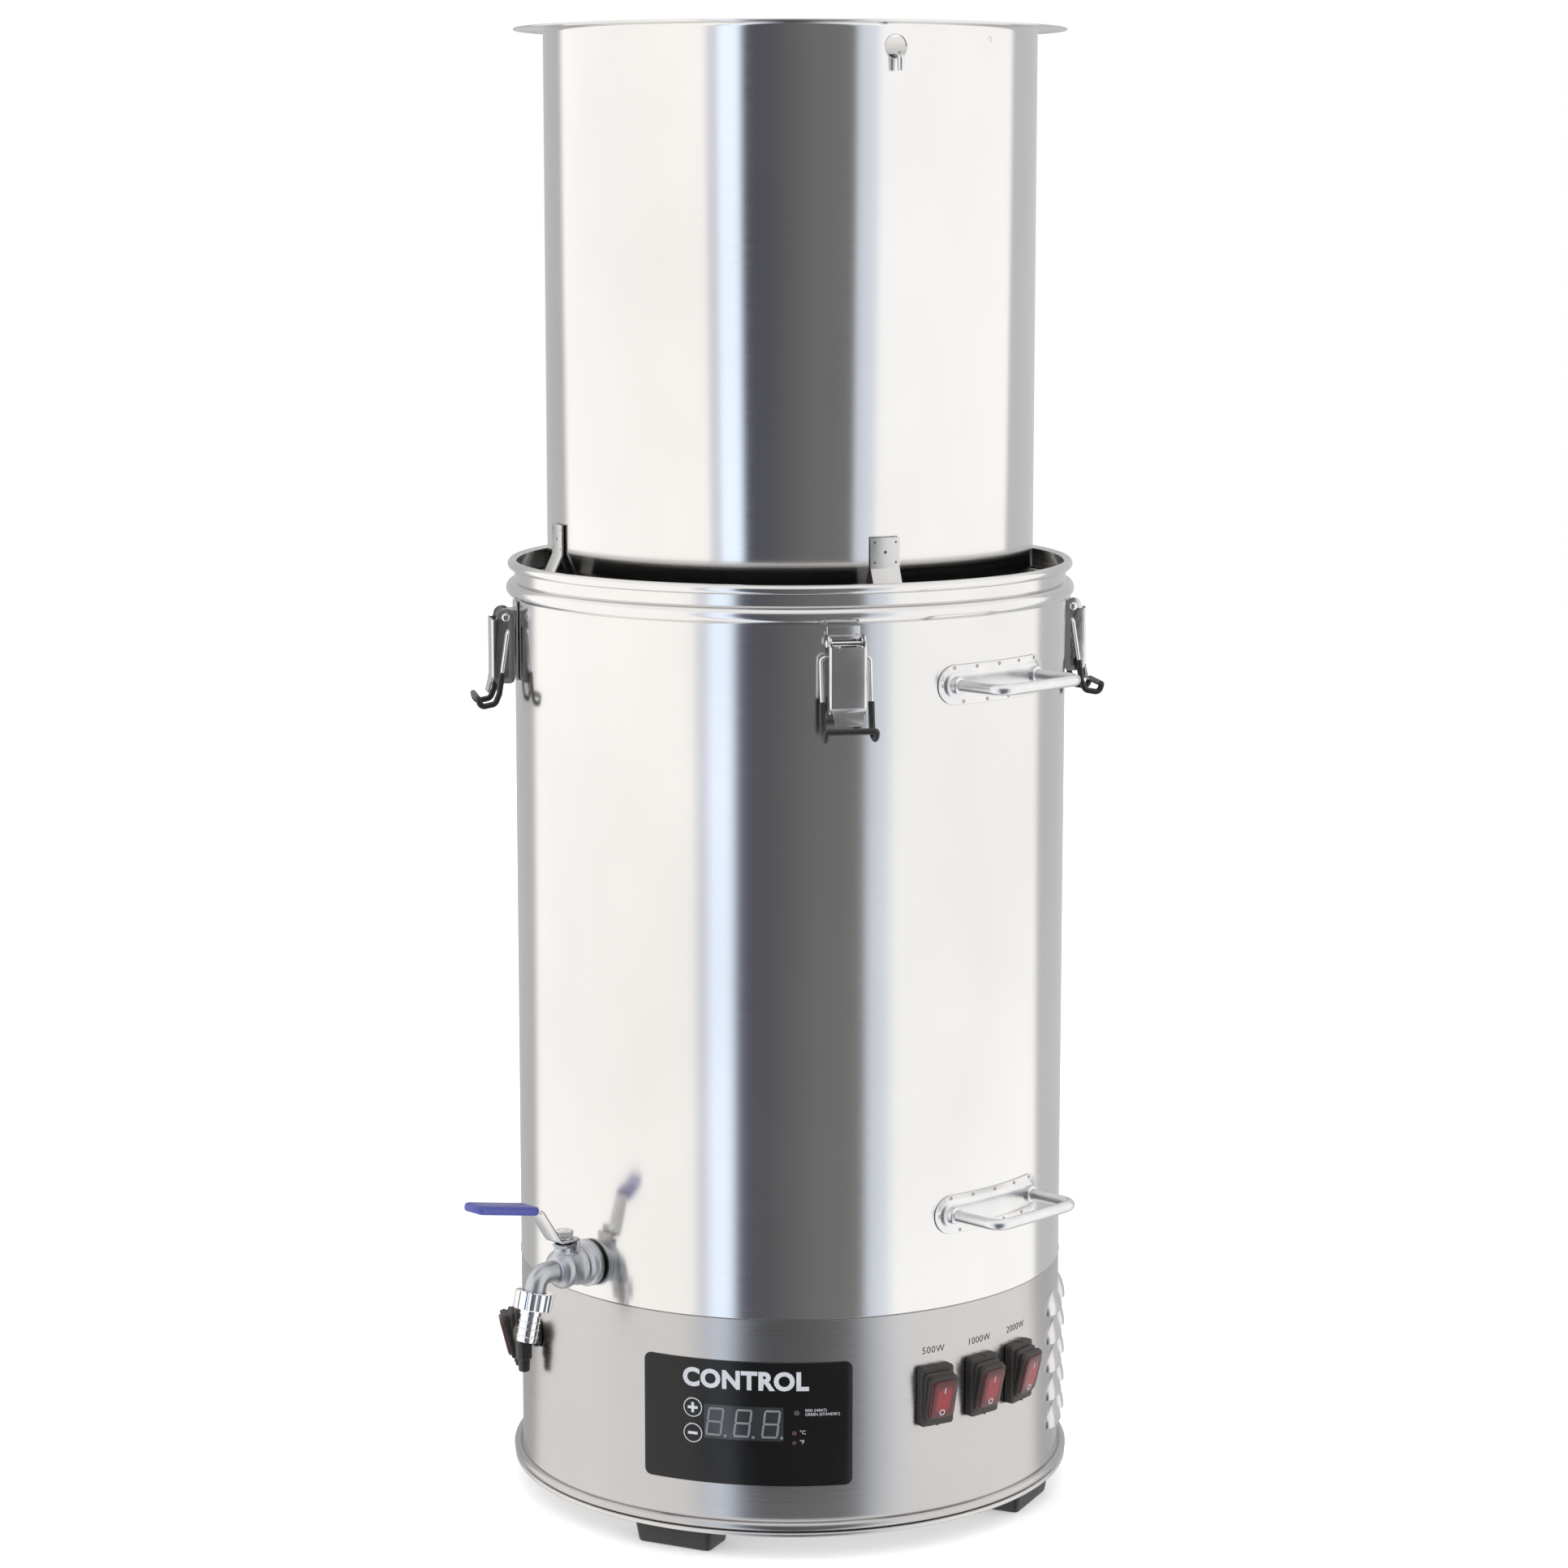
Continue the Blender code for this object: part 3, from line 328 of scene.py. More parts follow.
def mesh_object(name, bm):
    """The bmesh as an object, with its faces turned outwards."""
    bmesh.ops.recalc_face_normals(bm, faces=bm.faces)
    mesh = bpy.data.meshes.new(name)
    bm.to_mesh(mesh)
    bm.free()
    return linked(name, mesh)


def evaluated_mesh(obj):
    bpy.context.view_layer.update()
    evaluated = obj.evaluated_get(bpy.context.evaluated_depsgraph_get())
    bm = bmesh.new()
    bm.from_mesh(evaluated.to_mesh())
    evaluated.to_mesh_clear()
    return bm


def cut_away(bm, *tools):
    """Takes the tools' shapes out of bm."""
    obj, cutter = mesh_object("cut", bm), mesh_object("tool", merged(*tools))
    modifier = obj.modifiers.new("cut", "BOOLEAN")
    modifier.object = cutter
    modifier.operation = "DIFFERENCE"
    modifier.solver = "EXACT"
    result = evaluated_mesh(obj)
    for helper in (obj, cutter):
        data = helper.data
        bpy.data.objects.remove(helper)
        bpy.data.meshes.remove(data)
    return result


def lettering(text, height, bold=0.0, depth=0.00008, spacing=1.0, align="CENTER"):
    """Raised lettering facing out, standing from y = 0 to y = -depth."""
    curve = bpy.data.curves.new("text", "FONT")
    curve.body = text
    curve.size = height
    curve.offset = bold
    curve.space_character = spacing
    curve.extrude = depth / 2
    curve.align_x = align
    curve.align_y = "CENTER"
    curve.resolution_u = 4
    obj = linked("text", curve)
    bm = evaluated_mesh(obj)
    bpy.data.objects.remove(obj)
    bpy.data.curves.remove(curve)
    bmesh.ops.remove_doubles(bm, verts=bm.verts, dist=1e-6)
    bm.transform(shift(0, -depth / 2, 0) @ FACE_OUT)
    return bm


def piece(name, bm, surface, body, replaces=(), matrix=None, sharp=35.0):
    """The mesh as a finished piece that rides on a body."""
    obj = mesh_object(name, bm)
    obj.data.materials.append(surface)
    obj.data.shade_smooth()
    obj.data.set_sharp_from_angle(angle=math.radians(sharp))
    if matrix:
        obj.matrix_world = matrix
    if body:
        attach(obj, body)
    if replaces:
        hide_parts(*replaces)
    return obj


# Finishes

def add_node(tree, kind, **values):
    made = tree.nodes.new(kind)
    for key, value in values.items():
        setattr(made, key, value)
    return made


class Finish:
    """A Principled material and short ways to feed it with patterns in the object's own space."""

    def __init__(self, name, color, roughness, metallic=0.0, **sockets):
        self.material = bpy.data.materials.new(name)
        self.material.use_nodes = True
        self.tree = self.material.node_tree
        self.shader = self.tree.nodes["Principled BSDF"]
        self.color = color
        self.set("Base Color", (*color, 1.0))
        self.set("Roughness", roughness)
        self.set("Metallic", metallic)
        for socket, value in sockets.items():
            self.set(socket.replace("_", " "), value)
        self.bump_before = None

    def set(self, socket, value):
        self.shader.inputs[socket].default_value = value

    def node(self, kind, **values):
        return add_node(self.tree, kind, **values)

    def link(self, output, target):
        self.tree.links.new(output, target)

    def noise(self, scale, detail=3.0, stretch=(1, 1, 1)):
        coordinates = self.node("ShaderNodeTexCoord")
        mapping = self.node("ShaderNodeMapping")
        mapping.inputs["Scale"].default_value = stretch
        pattern = self.node("ShaderNodeTexNoise")
        pattern.inputs["Scale"].default_value = scale
        pattern.inputs["Detail"].default_value = detail
        self.link(coordinates.outputs["Object"], mapping.inputs["Vector"])
        self.link(mapping.outputs["Vector"], pattern.inputs["Vector"])
        return pattern.outputs["Fac"]

    def spread(self, value, low, high, start=0.3, end=0.7):
        """The value from start to end drawn out to run from low to high."""
        ranged = self.node("ShaderNodeMapRange")
        for socket, number in (("From Min", start), ("From Max", end), ("To Min", low), ("To Max", high)):
            ranged.inputs[socket].default_value = number
        self.link(value, ranged.inputs["Value"])
        return ranged.outputs["Result"]

    def vary_roughness(self, value, low, high):
        self.link(self.spread(value, low, high), self.shader.inputs["Roughness"])

    def vary_color(self, value, low, high, start=0.3, end=0.7):
        mix = self.node("ShaderNodeMix", data_type="RGBA")
        mix.inputs["A"].default_value = (*low, 1.0)
        mix.inputs["B"].default_value = (*high, 1.0)
        self.link(self.spread(value, 0.0, 1.0, start, end), mix.inputs["Factor"])
        self.link(mix.outputs["Result"], self.shader.inputs["Base Color"])

    def bump(self, value, strength, distance=0.0002):
        made = self.node("ShaderNodeBump")
        made.inputs["Strength"].default_value = strength
        made.inputs["Distance"].default_value = distance
        self.link(value, made.inputs["Height"])
        if self.bump_before:
            self.link(self.bump_before, made.inputs["Normal"])
        self.bump_before = made.outputs["Normal"]
        self.link(self.bump_before, self.shader.inputs["Normal"])

    def brush_round(self, anisotropy):
        """Grain that runs round the Z axis, which draws reflections out up and down."""
        tangent = self.node("ShaderNodeTangent", direction_type="RADIAL", axis="Z")
        self.link(tangent.outputs["Tangent"], self.shader.inputs["Tangent"])
        self.set("Anisotropic", anisotropy)
        self.set("Anisotropic Rotation", 0.25)


def scaled(color, factor):
    return tuple(min(1.0, channel * factor) for channel in color)


def brushed_round(name, color, rough, anisotropy=0.35):
    finish = Finish(name, color, sum(rough) / 2, 1.0)
    grain = finish.noise(1.0, 2.0, (4, 4, 2600))
    smudge = finish.noise(5.0, 3.0, (1, 1, 0.6))
    finish.vary_roughness(grain, *rough)
    finish.vary_color(smudge, scaled(color, 0.94), scaled(color, 1.04), 0.35, 0.65)
    finish.bump(grain, 0.012, 0.0001)
    finish.brush_round(anisotropy)
    return finish.material


def satin(name, color, rough, grain=700.0, bump=0.05, metallic=1.0, **sockets):
    """A plain surface with fine speckle in its gloss and its height, and faint cloudiness."""
    finish = Finish(name, color, sum(rough) / 2, metallic, **sockets)
    speckle = finish.noise(grain, 3.0)
    cloud = finish.noise(40.0, 3.0)
    finish.vary_roughness(cloud, *rough)
    finish.vary_color(cloud, scaled(color, 0.92), scaled(color, 1.06))
    finish.bump(speckle, bump)
    return finish.material


STEEL_COLOR = (0.70, 0.69, 0.68)
WALL_STEEL = brushed_round("brushed_wall", STEEL_COLOR, (0.13, 0.18))
PIPE_STEEL = brushed_round("brushed_pipe", (0.71, 0.70, 0.69), (0.10, 0.15))
BEAD_STEEL = brushed_round("brushed_base", (0.49, 0.478, 0.472), (0.23, 0.30), 0.35)
HOOD_STEEL = satin("pressed_steel", (0.66, 0.65, 0.645), (0.24, 0.36), 500, 0.03)
SHEET = satin("plain_sheet", (0.62, 0.61, 0.60), (0.30, 0.42), 500, 0.04)
POLISHED = satin("polished_bar", (0.72, 0.72, 0.72), (0.24, 0.34), 900, 0.02)
CHROME = satin("chrome", (0.80, 0.80, 0.81), (0.04, 0.09), 600, 0.01)
LATCH_STEEL = satin("latch_steel", (0.68, 0.67, 0.66), (0.12, 0.20), 600, 0.02)
CAST = satin("bead_blasted_casting", (0.52, 0.53, 0.55), (0.32, 0.46), 1400, 0.22)
ALUMINIUM = satin("element_aluminium", (0.62, 0.62, 0.62), (0.40, 0.55), 500, 0.1)
RUBBER = satin("brown_black_rubber", (0.035, 0.030, 0.027), (0.42, 0.60), 900, 0.10, 0.0)
FOOT_RUBBER = satin("foot_rubber", (0.022, 0.021, 0.021), (0.45, 0.62), 700, 0.15, 0.0)
SLEEVE = satin("black_sleeve", (0.012, 0.012, 0.012), (0.26, 0.40), 700, 0.06, 0.0)
BLACK = satin("black_moulding", (0.016, 0.016, 0.016), (0.30, 0.42), 1200, 0.08, 0.0)
FILM = satin("panel_film", (0.0075, 0.0075, 0.0078), (0.16, 0.24), 300, 0.01, 0.0, Specular_IOR_Level=0.32)
WINDOW = satin("display_window", (0.030, 0.033, 0.038), (0.08, 0.14), 300, 0.01, 0.0)
PRINT = satin("white_print", (0.58, 0.60, 0.64), (0.35, 0.5), 900, 0.01, 0.0)
DARK_PRINT = satin("black_print", (0.03, 0.03, 0.03), (0.4, 0.5), 900, 0.01, 0.0)
SEGMENT = satin("display_segment", (0.20, 0.21, 0.22), (0.25, 0.4), 900, 0.02, 0.0)
VINYL = satin("blue_vinyl", (0.072, 0.082, 0.35), (0.26, 0.40), 500, 0.05, 0.0)
WELD = satin("weld_tint", (0.42, 0.26, 0.16), (0.25, 0.40), 900, 0.10)
DARK_SPOT = satin("spot_weld", (0.10, 0.09, 0.085), (0.40, 0.55), 900, 0.10)
LAMP = satin("lamp_lens", (0.10, 0.035, 0.035), (0.10, 0.2), 900, 0.02, 0.0)
GREY_LAMP = satin("grey_lamp_lens", (0.07, 0.07, 0.065), (0.10, 0.2), 900, 0.02, 0.0)


def rocker_red():
    """Dark red translucent plastic (its own colour), with a painted glow that makes it brighter over the lamp
    in its middle.
    """
    finish = Finish("rocker_red", (0.15, 0.010, 0.013), 0.16, 0.0, Coat_Weight=0.1)
    coordinates = finish.node("ShaderNodeTexCoord")
    parts = finish.node("ShaderNodeSeparateXYZ")
    finish.link(coordinates.outputs["Object"], parts.inputs["Vector"])
    # How the painted glow fades towards the lens's sides and towards its top and bottom
    glow_falloffs = []
    for axis, inside, outside in (("X", 0.0045, 0.0068), ("Z", 0.0065, 0.0108)):
        size = finish.node("ShaderNodeMath", operation="ABSOLUTE")
        finish.link(parts.outputs[axis], size.inputs[0])
        glow_falloffs.append(finish.spread(size.outputs[0], 1.0, 0.0, inside, outside))
    painted_glow_mask = finish.node("ShaderNodeMath", operation="MULTIPLY")
    finish.link(glow_falloffs[0], painted_glow_mask.inputs[0])
    finish.link(glow_falloffs[1], painted_glow_mask.inputs[1])
    # Painted glow: the base colour goes from dark red at the lens's edges to a brighter red over its middle
    finish.vary_color(painted_glow_mask.outputs[0], (0.075, 0.009, 0.012), (0.26, 0.013, 0.018), 0.0, 1.0)
    finish.bump(finish.noise(500.0), 0.01)
    return finish.material


RED = rocker_red()


# Kettle wall, skirt and base

def kettle_wall():
    inner = SHELL_RADIUS - WALL
    flare = 0.0005
    profile = arc((RIM_CENTRE, RIM_Z), CURL_RADIUS, 150, -115, 26)
    profile += [(SHELL_RADIUS, BEAD_Z + 0.0068), (SHELL_RADIUS, BEAD_Z + 0.0062)]
    profile += arc((RIB_CENTRE, BEAD_Z), RIB_RADIUS, 74, -74, 22)
    profile += [(SHELL_RADIUS, BEAD_Z - 0.0062), (SHELL_RADIUS, BEAD_Z - 0.0070)]
    profile += [(SHELL_RADIUS, SEAM_Z + 0.0034), (SHELL_RADIUS + flare, SEAM_Z + 0.0016)]
    profile += [(SHELL_RADIUS + flare, SEAM_Z + 0.0009), (SHELL_RADIUS - 0.0001, SEAM_Z + 0.0003)]
    profile += [(inner, SEAM_Z + 0.0003), (inner, BEAD_Z - 0.0060)]
    profile += arc((RIB_CENTRE, BEAD_Z), RIB_RADIUS - WALL, -72, 72, 14)
    profile += [(inner, BEAD_Z + 0.0060), (inner, RIM_Z - 0.0040)]
    piece("kettle_wall", lathe(profile), WALL_STEEL, "kettle", ("kettle_shell",))


def support_tabs():
    """The four lugs inside the mouth that the raised pipe's brackets stand on."""
    top = 0.6435
    lugs = []
    for turn in QUARTERS:
        flat = soft_box((-0.0120, -0.0070, -0.0016), (0.0120, 0.0015, 0.0), 0.0006, 2)
        web = soft_box((-0.0120, -0.0083, -0.0160), (0.0120, -0.0069, 0.0), 0.0005, 2)
        lugs.append(moved(merged(flat, web), at(BRACKET_AZIMUTH + turn, 0.1906, top)))
    piece("support_tabs", merged(*lugs), SHEET, "kettle")


def hood(azimuth, z):
    """One louvre: a smooth pressed eyelid, flush at its top and open below."""
    across, up, skin = 33, 11, 0.0008
    bm = bmesh.new()
    grids = []
    for inset in (0.0, skin):
        grid = []
        for j in range(up):
            v = j / (up - 1)
            row = []
            for i in range(across):
                u = -1 + 2 * i / (across - 1)
                span = LOUVRE_LENGTH / 2 * (1 - 0.16 * v * v)
                end = max(0.0, 1 - abs(u) ** 4.5) ** 0.6
                rise = math.cos(v * math.pi / 2) ** 0.75 if v < 1 else 0.0
                reach = max(LOUVRE_DEPTH * end * rise - inset, -inset)
                x, height = u * span, v * LOUVRE_HEIGHT * (0.55 + 0.45 * (1 - abs(u) ** 2.4))
                row.append(bm.verts.new(outward(
                    azimuth + math.degrees(x / SHELL_RADIUS), SHELL_RADIUS + reach + 0.00005, z + height
                )))
            grid.append(row)
        grids.append(grid)
    outer, inner = grids
    for grid in grids:
        for j in range(up - 1):
            for i in range(across - 1):
                bm.faces.new((grid[j][i], grid[j][i + 1], grid[j + 1][i + 1], grid[j + 1][i]))
    last = across - 1
    for i in range(last):
        bm.faces.new((outer[0][i], inner[0][i], inner[0][i + 1], outer[0][i + 1]))
        bm.faces.new((outer[up - 1][i], outer[up - 1][i + 1], inner[up - 1][i + 1], inner[up - 1][i]))
    for j in range(up - 1):
        bm.faces.new((outer[j][0], outer[j + 1][0], inner[j + 1][0], inner[j][0]))
        bm.faces.new((outer[j][last], inner[j][last], inner[j + 1][last], outer[j + 1][last]))
    return bm


def louvre_places():
    for azimuth in LOUVRE_AZIMUTHS:
        for row in range(5):
            yield azimuth, LOUVRE_LOWEST_Z + row * LOUVRE_PITCH


def skirt():
    inner = SHELL_RADIUS - WALL
    curl = arc((0.2030, 0.0086), CURL_RADIUS, 115, -110, 20)
    profile = [(SHELL_RADIUS - 0.0004, SEAM_Z), (SHELL_RADIUS, SEAM_Z - 0.0004), (SHELL_RADIUS, 0.0140)]
    profile += curl + [(inner, 0.0066), (inner, SEAM_Z)]
    slots = [
        moved(soft_box((-0.0150, -0.004, 0.0004), (0.0150, 0.004, 0.0085), 0.0003, 1),
              at(azimuth, SHELL_RADIUS, z))
        for azimuth, z in louvre_places()
    ]
    wall = cut_away(lathe(profile), *slots)
    piece("skirt_wall", wall, BEAD_STEEL, "kettle", ("base_skirt",))
    hoods = merged(*[hood(azimuth, z) for azimuth, z in louvre_places()])
    piece("louvre_hoods", hoods, HOOD_STEEL, "kettle", sharp=50)


def base():
    profile = [
        (0.0, 0.0013), (0.1250, 0.0013), (0.1270, 0.0028), (0.1890, 0.0028), (0.1900, 0.0046),
    ]
    profile += arc((0.2042, 0.0030), 0.0018, 80, -60, 8)
    profile += [(0.2040, 0.0015), (0.1270, 0.0015), (0.1250, 0.0), (0.0, 0.0)]
    piece("pan_disc", solid(profile), SHEET, "kettle", ("base_pan",))
    for number in (1, 2, 3, 4):
        azimuth = azimuth_of(middle(f"foot_{number}"))
        top, depth = 0.0011, 0.0011 - SOLE_Z
        outlines = []
        for inset, drop in ((0, 0), (0, 0.004), (0.0006, 0.0075), (0.0018, depth - 0.0016),
                            (0.0024, depth - 0.0006), (0.0038, depth)):
            outline = rounded(FOOT_LENGTH - 2 * inset, FOOT_WIDTH - 2 * inset, 0.0045 - inset * 0.5)
            outlines.append([(x, y, -drop) for x, y in outline])
        foot = layers(outlines)
        piece(f"rubber_foot_{number}", foot, FOOT_RUBBER, "kettle", (f"foot_{number}",),
              at(azimuth, 0.181, top), sharp=50)


# Control panel

def film_outline(width, height, corner):
    return lambda inset: rounded(width - 2 * inset, height - 2 * inset, corner - inset, 10)


def panel():
    height = PANEL_HIGH.z - PANEL_LOW.z
    z = middle("control_panel").z
    film = slab(film_outline(PANEL_WIDTH, height, PANEL_CORNER), FILM_FRONT, 0.0003)
    tools = []
    for name in ("plus_button", "minus_button"):
        centre = middle(name)
        x = math.radians(azimuth_of(centre)) * SHELL_RADIUS
        bore = solid([(0.0, 0.004), (0.0073, 0.004), (0.0073, -0.004), (0.0, -0.004)], 48)
        tools.append(moved(bore, shift(x, 0, centre.z - z) @ FACE_OUT))
    film = cut_away(film, *tools)
    film = moved(split_columns(film, 0.003), shift(0, 0, z))
    piece("panel_sheet", wrap(film), FILM, "kettle", ("control_panel",))

    face = shift(0, -FILM_FRONT - 0.00002, 0)
    window = slab(film_outline(0.0560, 0.0245, 0.0008), 0.00010, 0.00004, 2)
    window = moved(split_columns(window, 0.004), face @ shift(-0.0011, 0, WINDOW_Z))
    piece("display_window", wrap(window), WINDOW, "kettle", ("display_lens",))

    def printed(name, text, x, height_z, size, surface, bold=0.0, spacing=1.0, align="LEFT"):
        words = moved(lettering(text, size, bold, spacing=spacing, align=align), face @ shift(x, 0, height_z))
        piece(name, wrap(words), surface, "kettle")

    printed("title_print", "CONTROL", -0.0005, 0.1127, 0.0178, PRINT, 0.00075, 1.06, "CENTER")
    printed("heat_print", "RED (HEAT)\nGREEN (STANDBY)", 0.0420, 0.0909, 0.0029, PRINT)
    printed("celsius_print", "°C", 0.0382, 0.0765, 0.0040, PRINT)
    printed("fahrenheit_print", "°F", 0.0382, 0.0695, 0.0040, PRINT)
    for name, x, height_z, size, surface in (
        ("state_lamp", 0.0362, 0.0907, 0.0019, GREY_LAMP),
        ("celsius_lamp", 0.0345, 0.0760, 0.0016, LAMP),
        ("fahrenheit_lamp", 0.0345, 0.0689, 0.0014, LAMP),
    ):
        dome = [(0.0, 0.0004), (size * 0.6, 0.00034), (size * 0.9, 0.00018), (size, 0.0), (0.0, 0.0)]
        lamp = moved(solid(dome, 24), face @ shift(x, 0, height_z) @ FACE_OUT)
        piece(name, wrap(lamp), surface, "kettle")


def segment(length, width):
    """One bar of a digit: a flat frame with pointed ends, lying along X."""
    half, side = length / 2, width / 2
    def outline(inset):
        tip, shoulder = half - inset * 1.4, half - side
        return [(tip, 0), (shoulder, side - inset), (-shoulder, side - inset),
                (-tip, 0), (-shoulder, inset - side), (shoulder, inset - side)]
    return slab(outline, 0.00016, 0.00005, 2)


def display():
    face = shift(0, -FILM_FRONT - 0.0001, 0)
    slant = math.radians(7)
    tall, wide, bar = 0.0205, 0.0118, 0.0015
    bars = []
    for x in (-0.0214, -0.0015, 0.0184):
        digit = []
        for level in (-1, 0, 1):
            digit.append(moved(segment(wide - bar * 0.6, bar), shift(0, 0, level * (tall - bar) / 2)))
        for level in (-1, 1):
            for hand in (-1, 1):
                place = shift(hand * (wide - bar) / 2, 0, level * (tall - bar) / 4)
                digit.append(moved(segment((tall - bar) / 2 - bar * 0.25, bar), place @ ALONG_X))
        shape = merged(*digit)
        for vert in shape.verts:
            vert.co.x += vert.co.z * math.tan(slant)
        dot = [(0.0, 0.00016), (0.0009, 0.00016), (0.0011, 0.0), (0.0, 0.0)]
        point = moved(solid(dot, 20), shift(wide * 0.62, 0, -tall / 2 + 0.0004) @ FACE_OUT)
        bars.append(moved(merged(shape, point), face @ shift(x, 0, WINDOW_Z)))
    piece("display_digits", wrap(merged(*bars)), SEGMENT, "kettle")


def buttons():
    for name, sign in (("plus_button", "+"), ("minus_button", "-")):
        centre = middle(name)
        azimuth = azimuth_of(centre)
        place = at(azimuth, SHELL_RADIUS, centre.z)
        crown = [
            (0.0, 0.0021), (0.0040, 0.00205), (0.0062, 0.0019), (0.0068, 0.0017), (0.0070, 0.0014),
            (0.0070, 0.0009), (0.0042, 0.0009), (0.0042, -0.0050), (0.0, -0.0050),
        ]
        cap = moved(solid(crown, 64), FACE_OUT)
        piece(f"{name}_cap", cap, FILM, name, (name,), place)
        ring = moved(lathe([
            (0.0063, 0.00202), (0.0067, 0.0020), (0.0070, 0.0018), (0.0064, 0.0017),
        ], 64), FACE_OUT)
        strokes = [soft_box((-0.0036, -0.00222, -0.0010), (0.0036, -0.0020, 0.0010), 0.00005, 1)]
        if sign == "+":
            strokes = [
                soft_box((-0.0037, -0.00222, -0.0010), (0.0037, -0.0020, 0.0010), 0.00005, 1),
                soft_box((-0.0010, -0.00223, -0.0037), (0.0010, -0.0020, 0.0037), 0.00005, 1),
            ]
        piece(f"{name}_print", merged(ring, *strokes), PRINT, name, matrix=place)


# Switches

def rounded_at(width, height, corner, tilt, out, pivot=0.0):
    """A rounded rectangle facing out, leaned back by tilt degrees about X and standing out this far."""
    lean = math.radians(tilt)
    points = []
    for x, z in rounded(width, height, corner, 7):
        points.append((x, -out - (z - pivot) * math.sin(lean), z * math.cos(lean)))
    return points


def switches():
    for name, pivot in ROCKERS.items():
        azimuth = azimuth_of(pivot)
        z = pivot[2]
        back = SHELL_RADIUS + 0.0002
        block = rounded_slab(0.0270, 0.0430, 0.0026, 0.0062, 0.0011)
        shoulder = moved(rounded_slab(0.0240, 0.0390, 0.0030, 0.0018, 0.0008), shift(0, -0.0050, 0))
        seams = [
            soft_box((-0.0003, -0.0066, z - 0.0004), (0.0003, -0.0004, z + 0.0004), 0.0001, 1)
            for z in (-0.0214, 0.0214)
        ]
        boot = merged(block, shoulder, *seams)
        piece(f"switch_base_{name}", boot, RUBBER, "kettle", (f"switch_boot_{name}",),
              at(azimuth, back, z))
        # The bellows lean from the flat base to the tilted rocker
        rings = []
        for share, width, height, out in (
            (0.0, 0.0212, 0.0345, 0.0055), (0.2, 0.0232, 0.0362, 0.0072), (0.35, 0.0238, 0.0366, 0.0080),
            (0.45, 0.0236, 0.0358, 0.0086), (0.55, 0.0214, 0.0328, 0.0090), (0.65, 0.0216, 0.0326, 0.0096),
            (0.8, 0.0234, 0.0340, 0.0104), (0.9, 0.0236, 0.0340, 0.0110), (1.0, 0.0222, 0.0322, 0.0114),
        ):
            rings.append(rounded_at(width, height, 0.0034, ROCKER_TILT * share, out))
        bellows = piece(f"switch_bellows_{name}", layers(rings), RUBBER, None,
                        matrix=at(azimuth, back - 0.0006, z), sharp=60)
        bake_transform(bellows)
        tilt = Matrix.Rotation(math.radians(ROCKER_TILT), 4, "X")
        place = at(azimuth, SHELL_RADIUS + 0.0104, z) @ tilt
        frame_ring = rounded_slab(0.0238, 0.0335, 0.0042, 0.0024, 0.0009)
        piece(f"rocker_frame_{name}", frame_ring, RUBBER, f"rocker_{name}", matrix=place)
        lens = lens_of(0.0206, 0.0292, 0.0046)
        face = place @ shift(0, -0.0014, 0)
        piece(f"rocker_lens_{name}", lens, RED, f"rocker_{name}", (f"rocker_{name}",),
              face, sharp=60)
        stroke = soft_box((-0.00035, -0.00312, 0.0052), (0.00035, -0.0030, 0.0098), 0.00004, 1)
        ring = moved(lathe([(0.0016, 0.0001), (0.0023, 0.0001), (0.0023, 0.0), (0.0016, 0.0)], 40),
                     shift(0, -0.0030, -0.0098) @ FACE_OUT)
        piece(f"rocker_print_{name}", merged(stroke, ring), PRINT, f"rocker_{name}",
              matrix=face)
    words = []
    for name in ("500w", "1000w", "2000w"):
        place = shift(0.0002, -0.00003, ROCKERS[name][2] + 0.0318)
        line = moved(lettering(name.upper(), 0.0070, 0.0, 0.00006, 1.1), place)
        words.append(wrap(line, azimuth_of(ROCKERS[name])))
    piece("switch_print", merged(*words), DARK_PRINT, "kettle")


def lens_of(width, height, corner):
    """The rocker's lens: a rounded slab with a soft shoulder."""
    stations = [(0.0, 0.0), (0.0, 0.0016), (0.0003, 0.0022), (0.0008, 0.0027), (0.0016, 0.0029),
                (0.0030, 0.0030), (0.0055, 0.0030)]
    outlines = []
    for inset, out in stations:
        outline = rounded(width - 2 * inset, height - 2 * inset, max(corner - inset, 0.0006), 9)
        outlines.append([(x, -out, z) for x, z in outline])
    return layers(outlines)


# Tap

def along_tap(bm):
    """Puts a piece made along +Z from the kettle's axis onto the tap's line."""
    return moved(bm, at(TAP_AZIMUTH, 0, TAP_STEM.z) @ FACE_OUT)


def spout_line(start, drop):
    corner = Vector((0, -SPOUT_TURN, 0))
    down = Vector((0, -math.sin(SPOUT_LEAN), -math.cos(SPOUT_LEAN)))
    return fillet([(0, -start, 0), corner, corner + drop * down], 0.0095, 16)


def on_spout(drop):
    """The matrix of a piece made down -Z that starts this far along the leaning outlet."""
    down = Vector((0, -math.sin(SPOUT_LEAN), -math.cos(SPOUT_LEAN)))
    place = Matrix.Translation(Vector((0, -SPOUT_TURN, 0)) + drop * down)
    return at(TAP_AZIMUTH, 0, TAP_STEM.z) @ place @ Matrix.Rotation(-SPOUT_LEAN, 4, "X")


def hexagon(radius, inset=0.0):
    return circle(radius - inset, 6)


def hex_nut(radius, height, chamfer=0.0006):
    stations = [(chamfer, 0.0), (0.0, chamfer * 0.7), (0.0, height - chamfer * 0.7), (chamfer, height)]
    return layers([[(x, y, z) for x, y in hexagon(radius, inset)] for inset, z in stations])


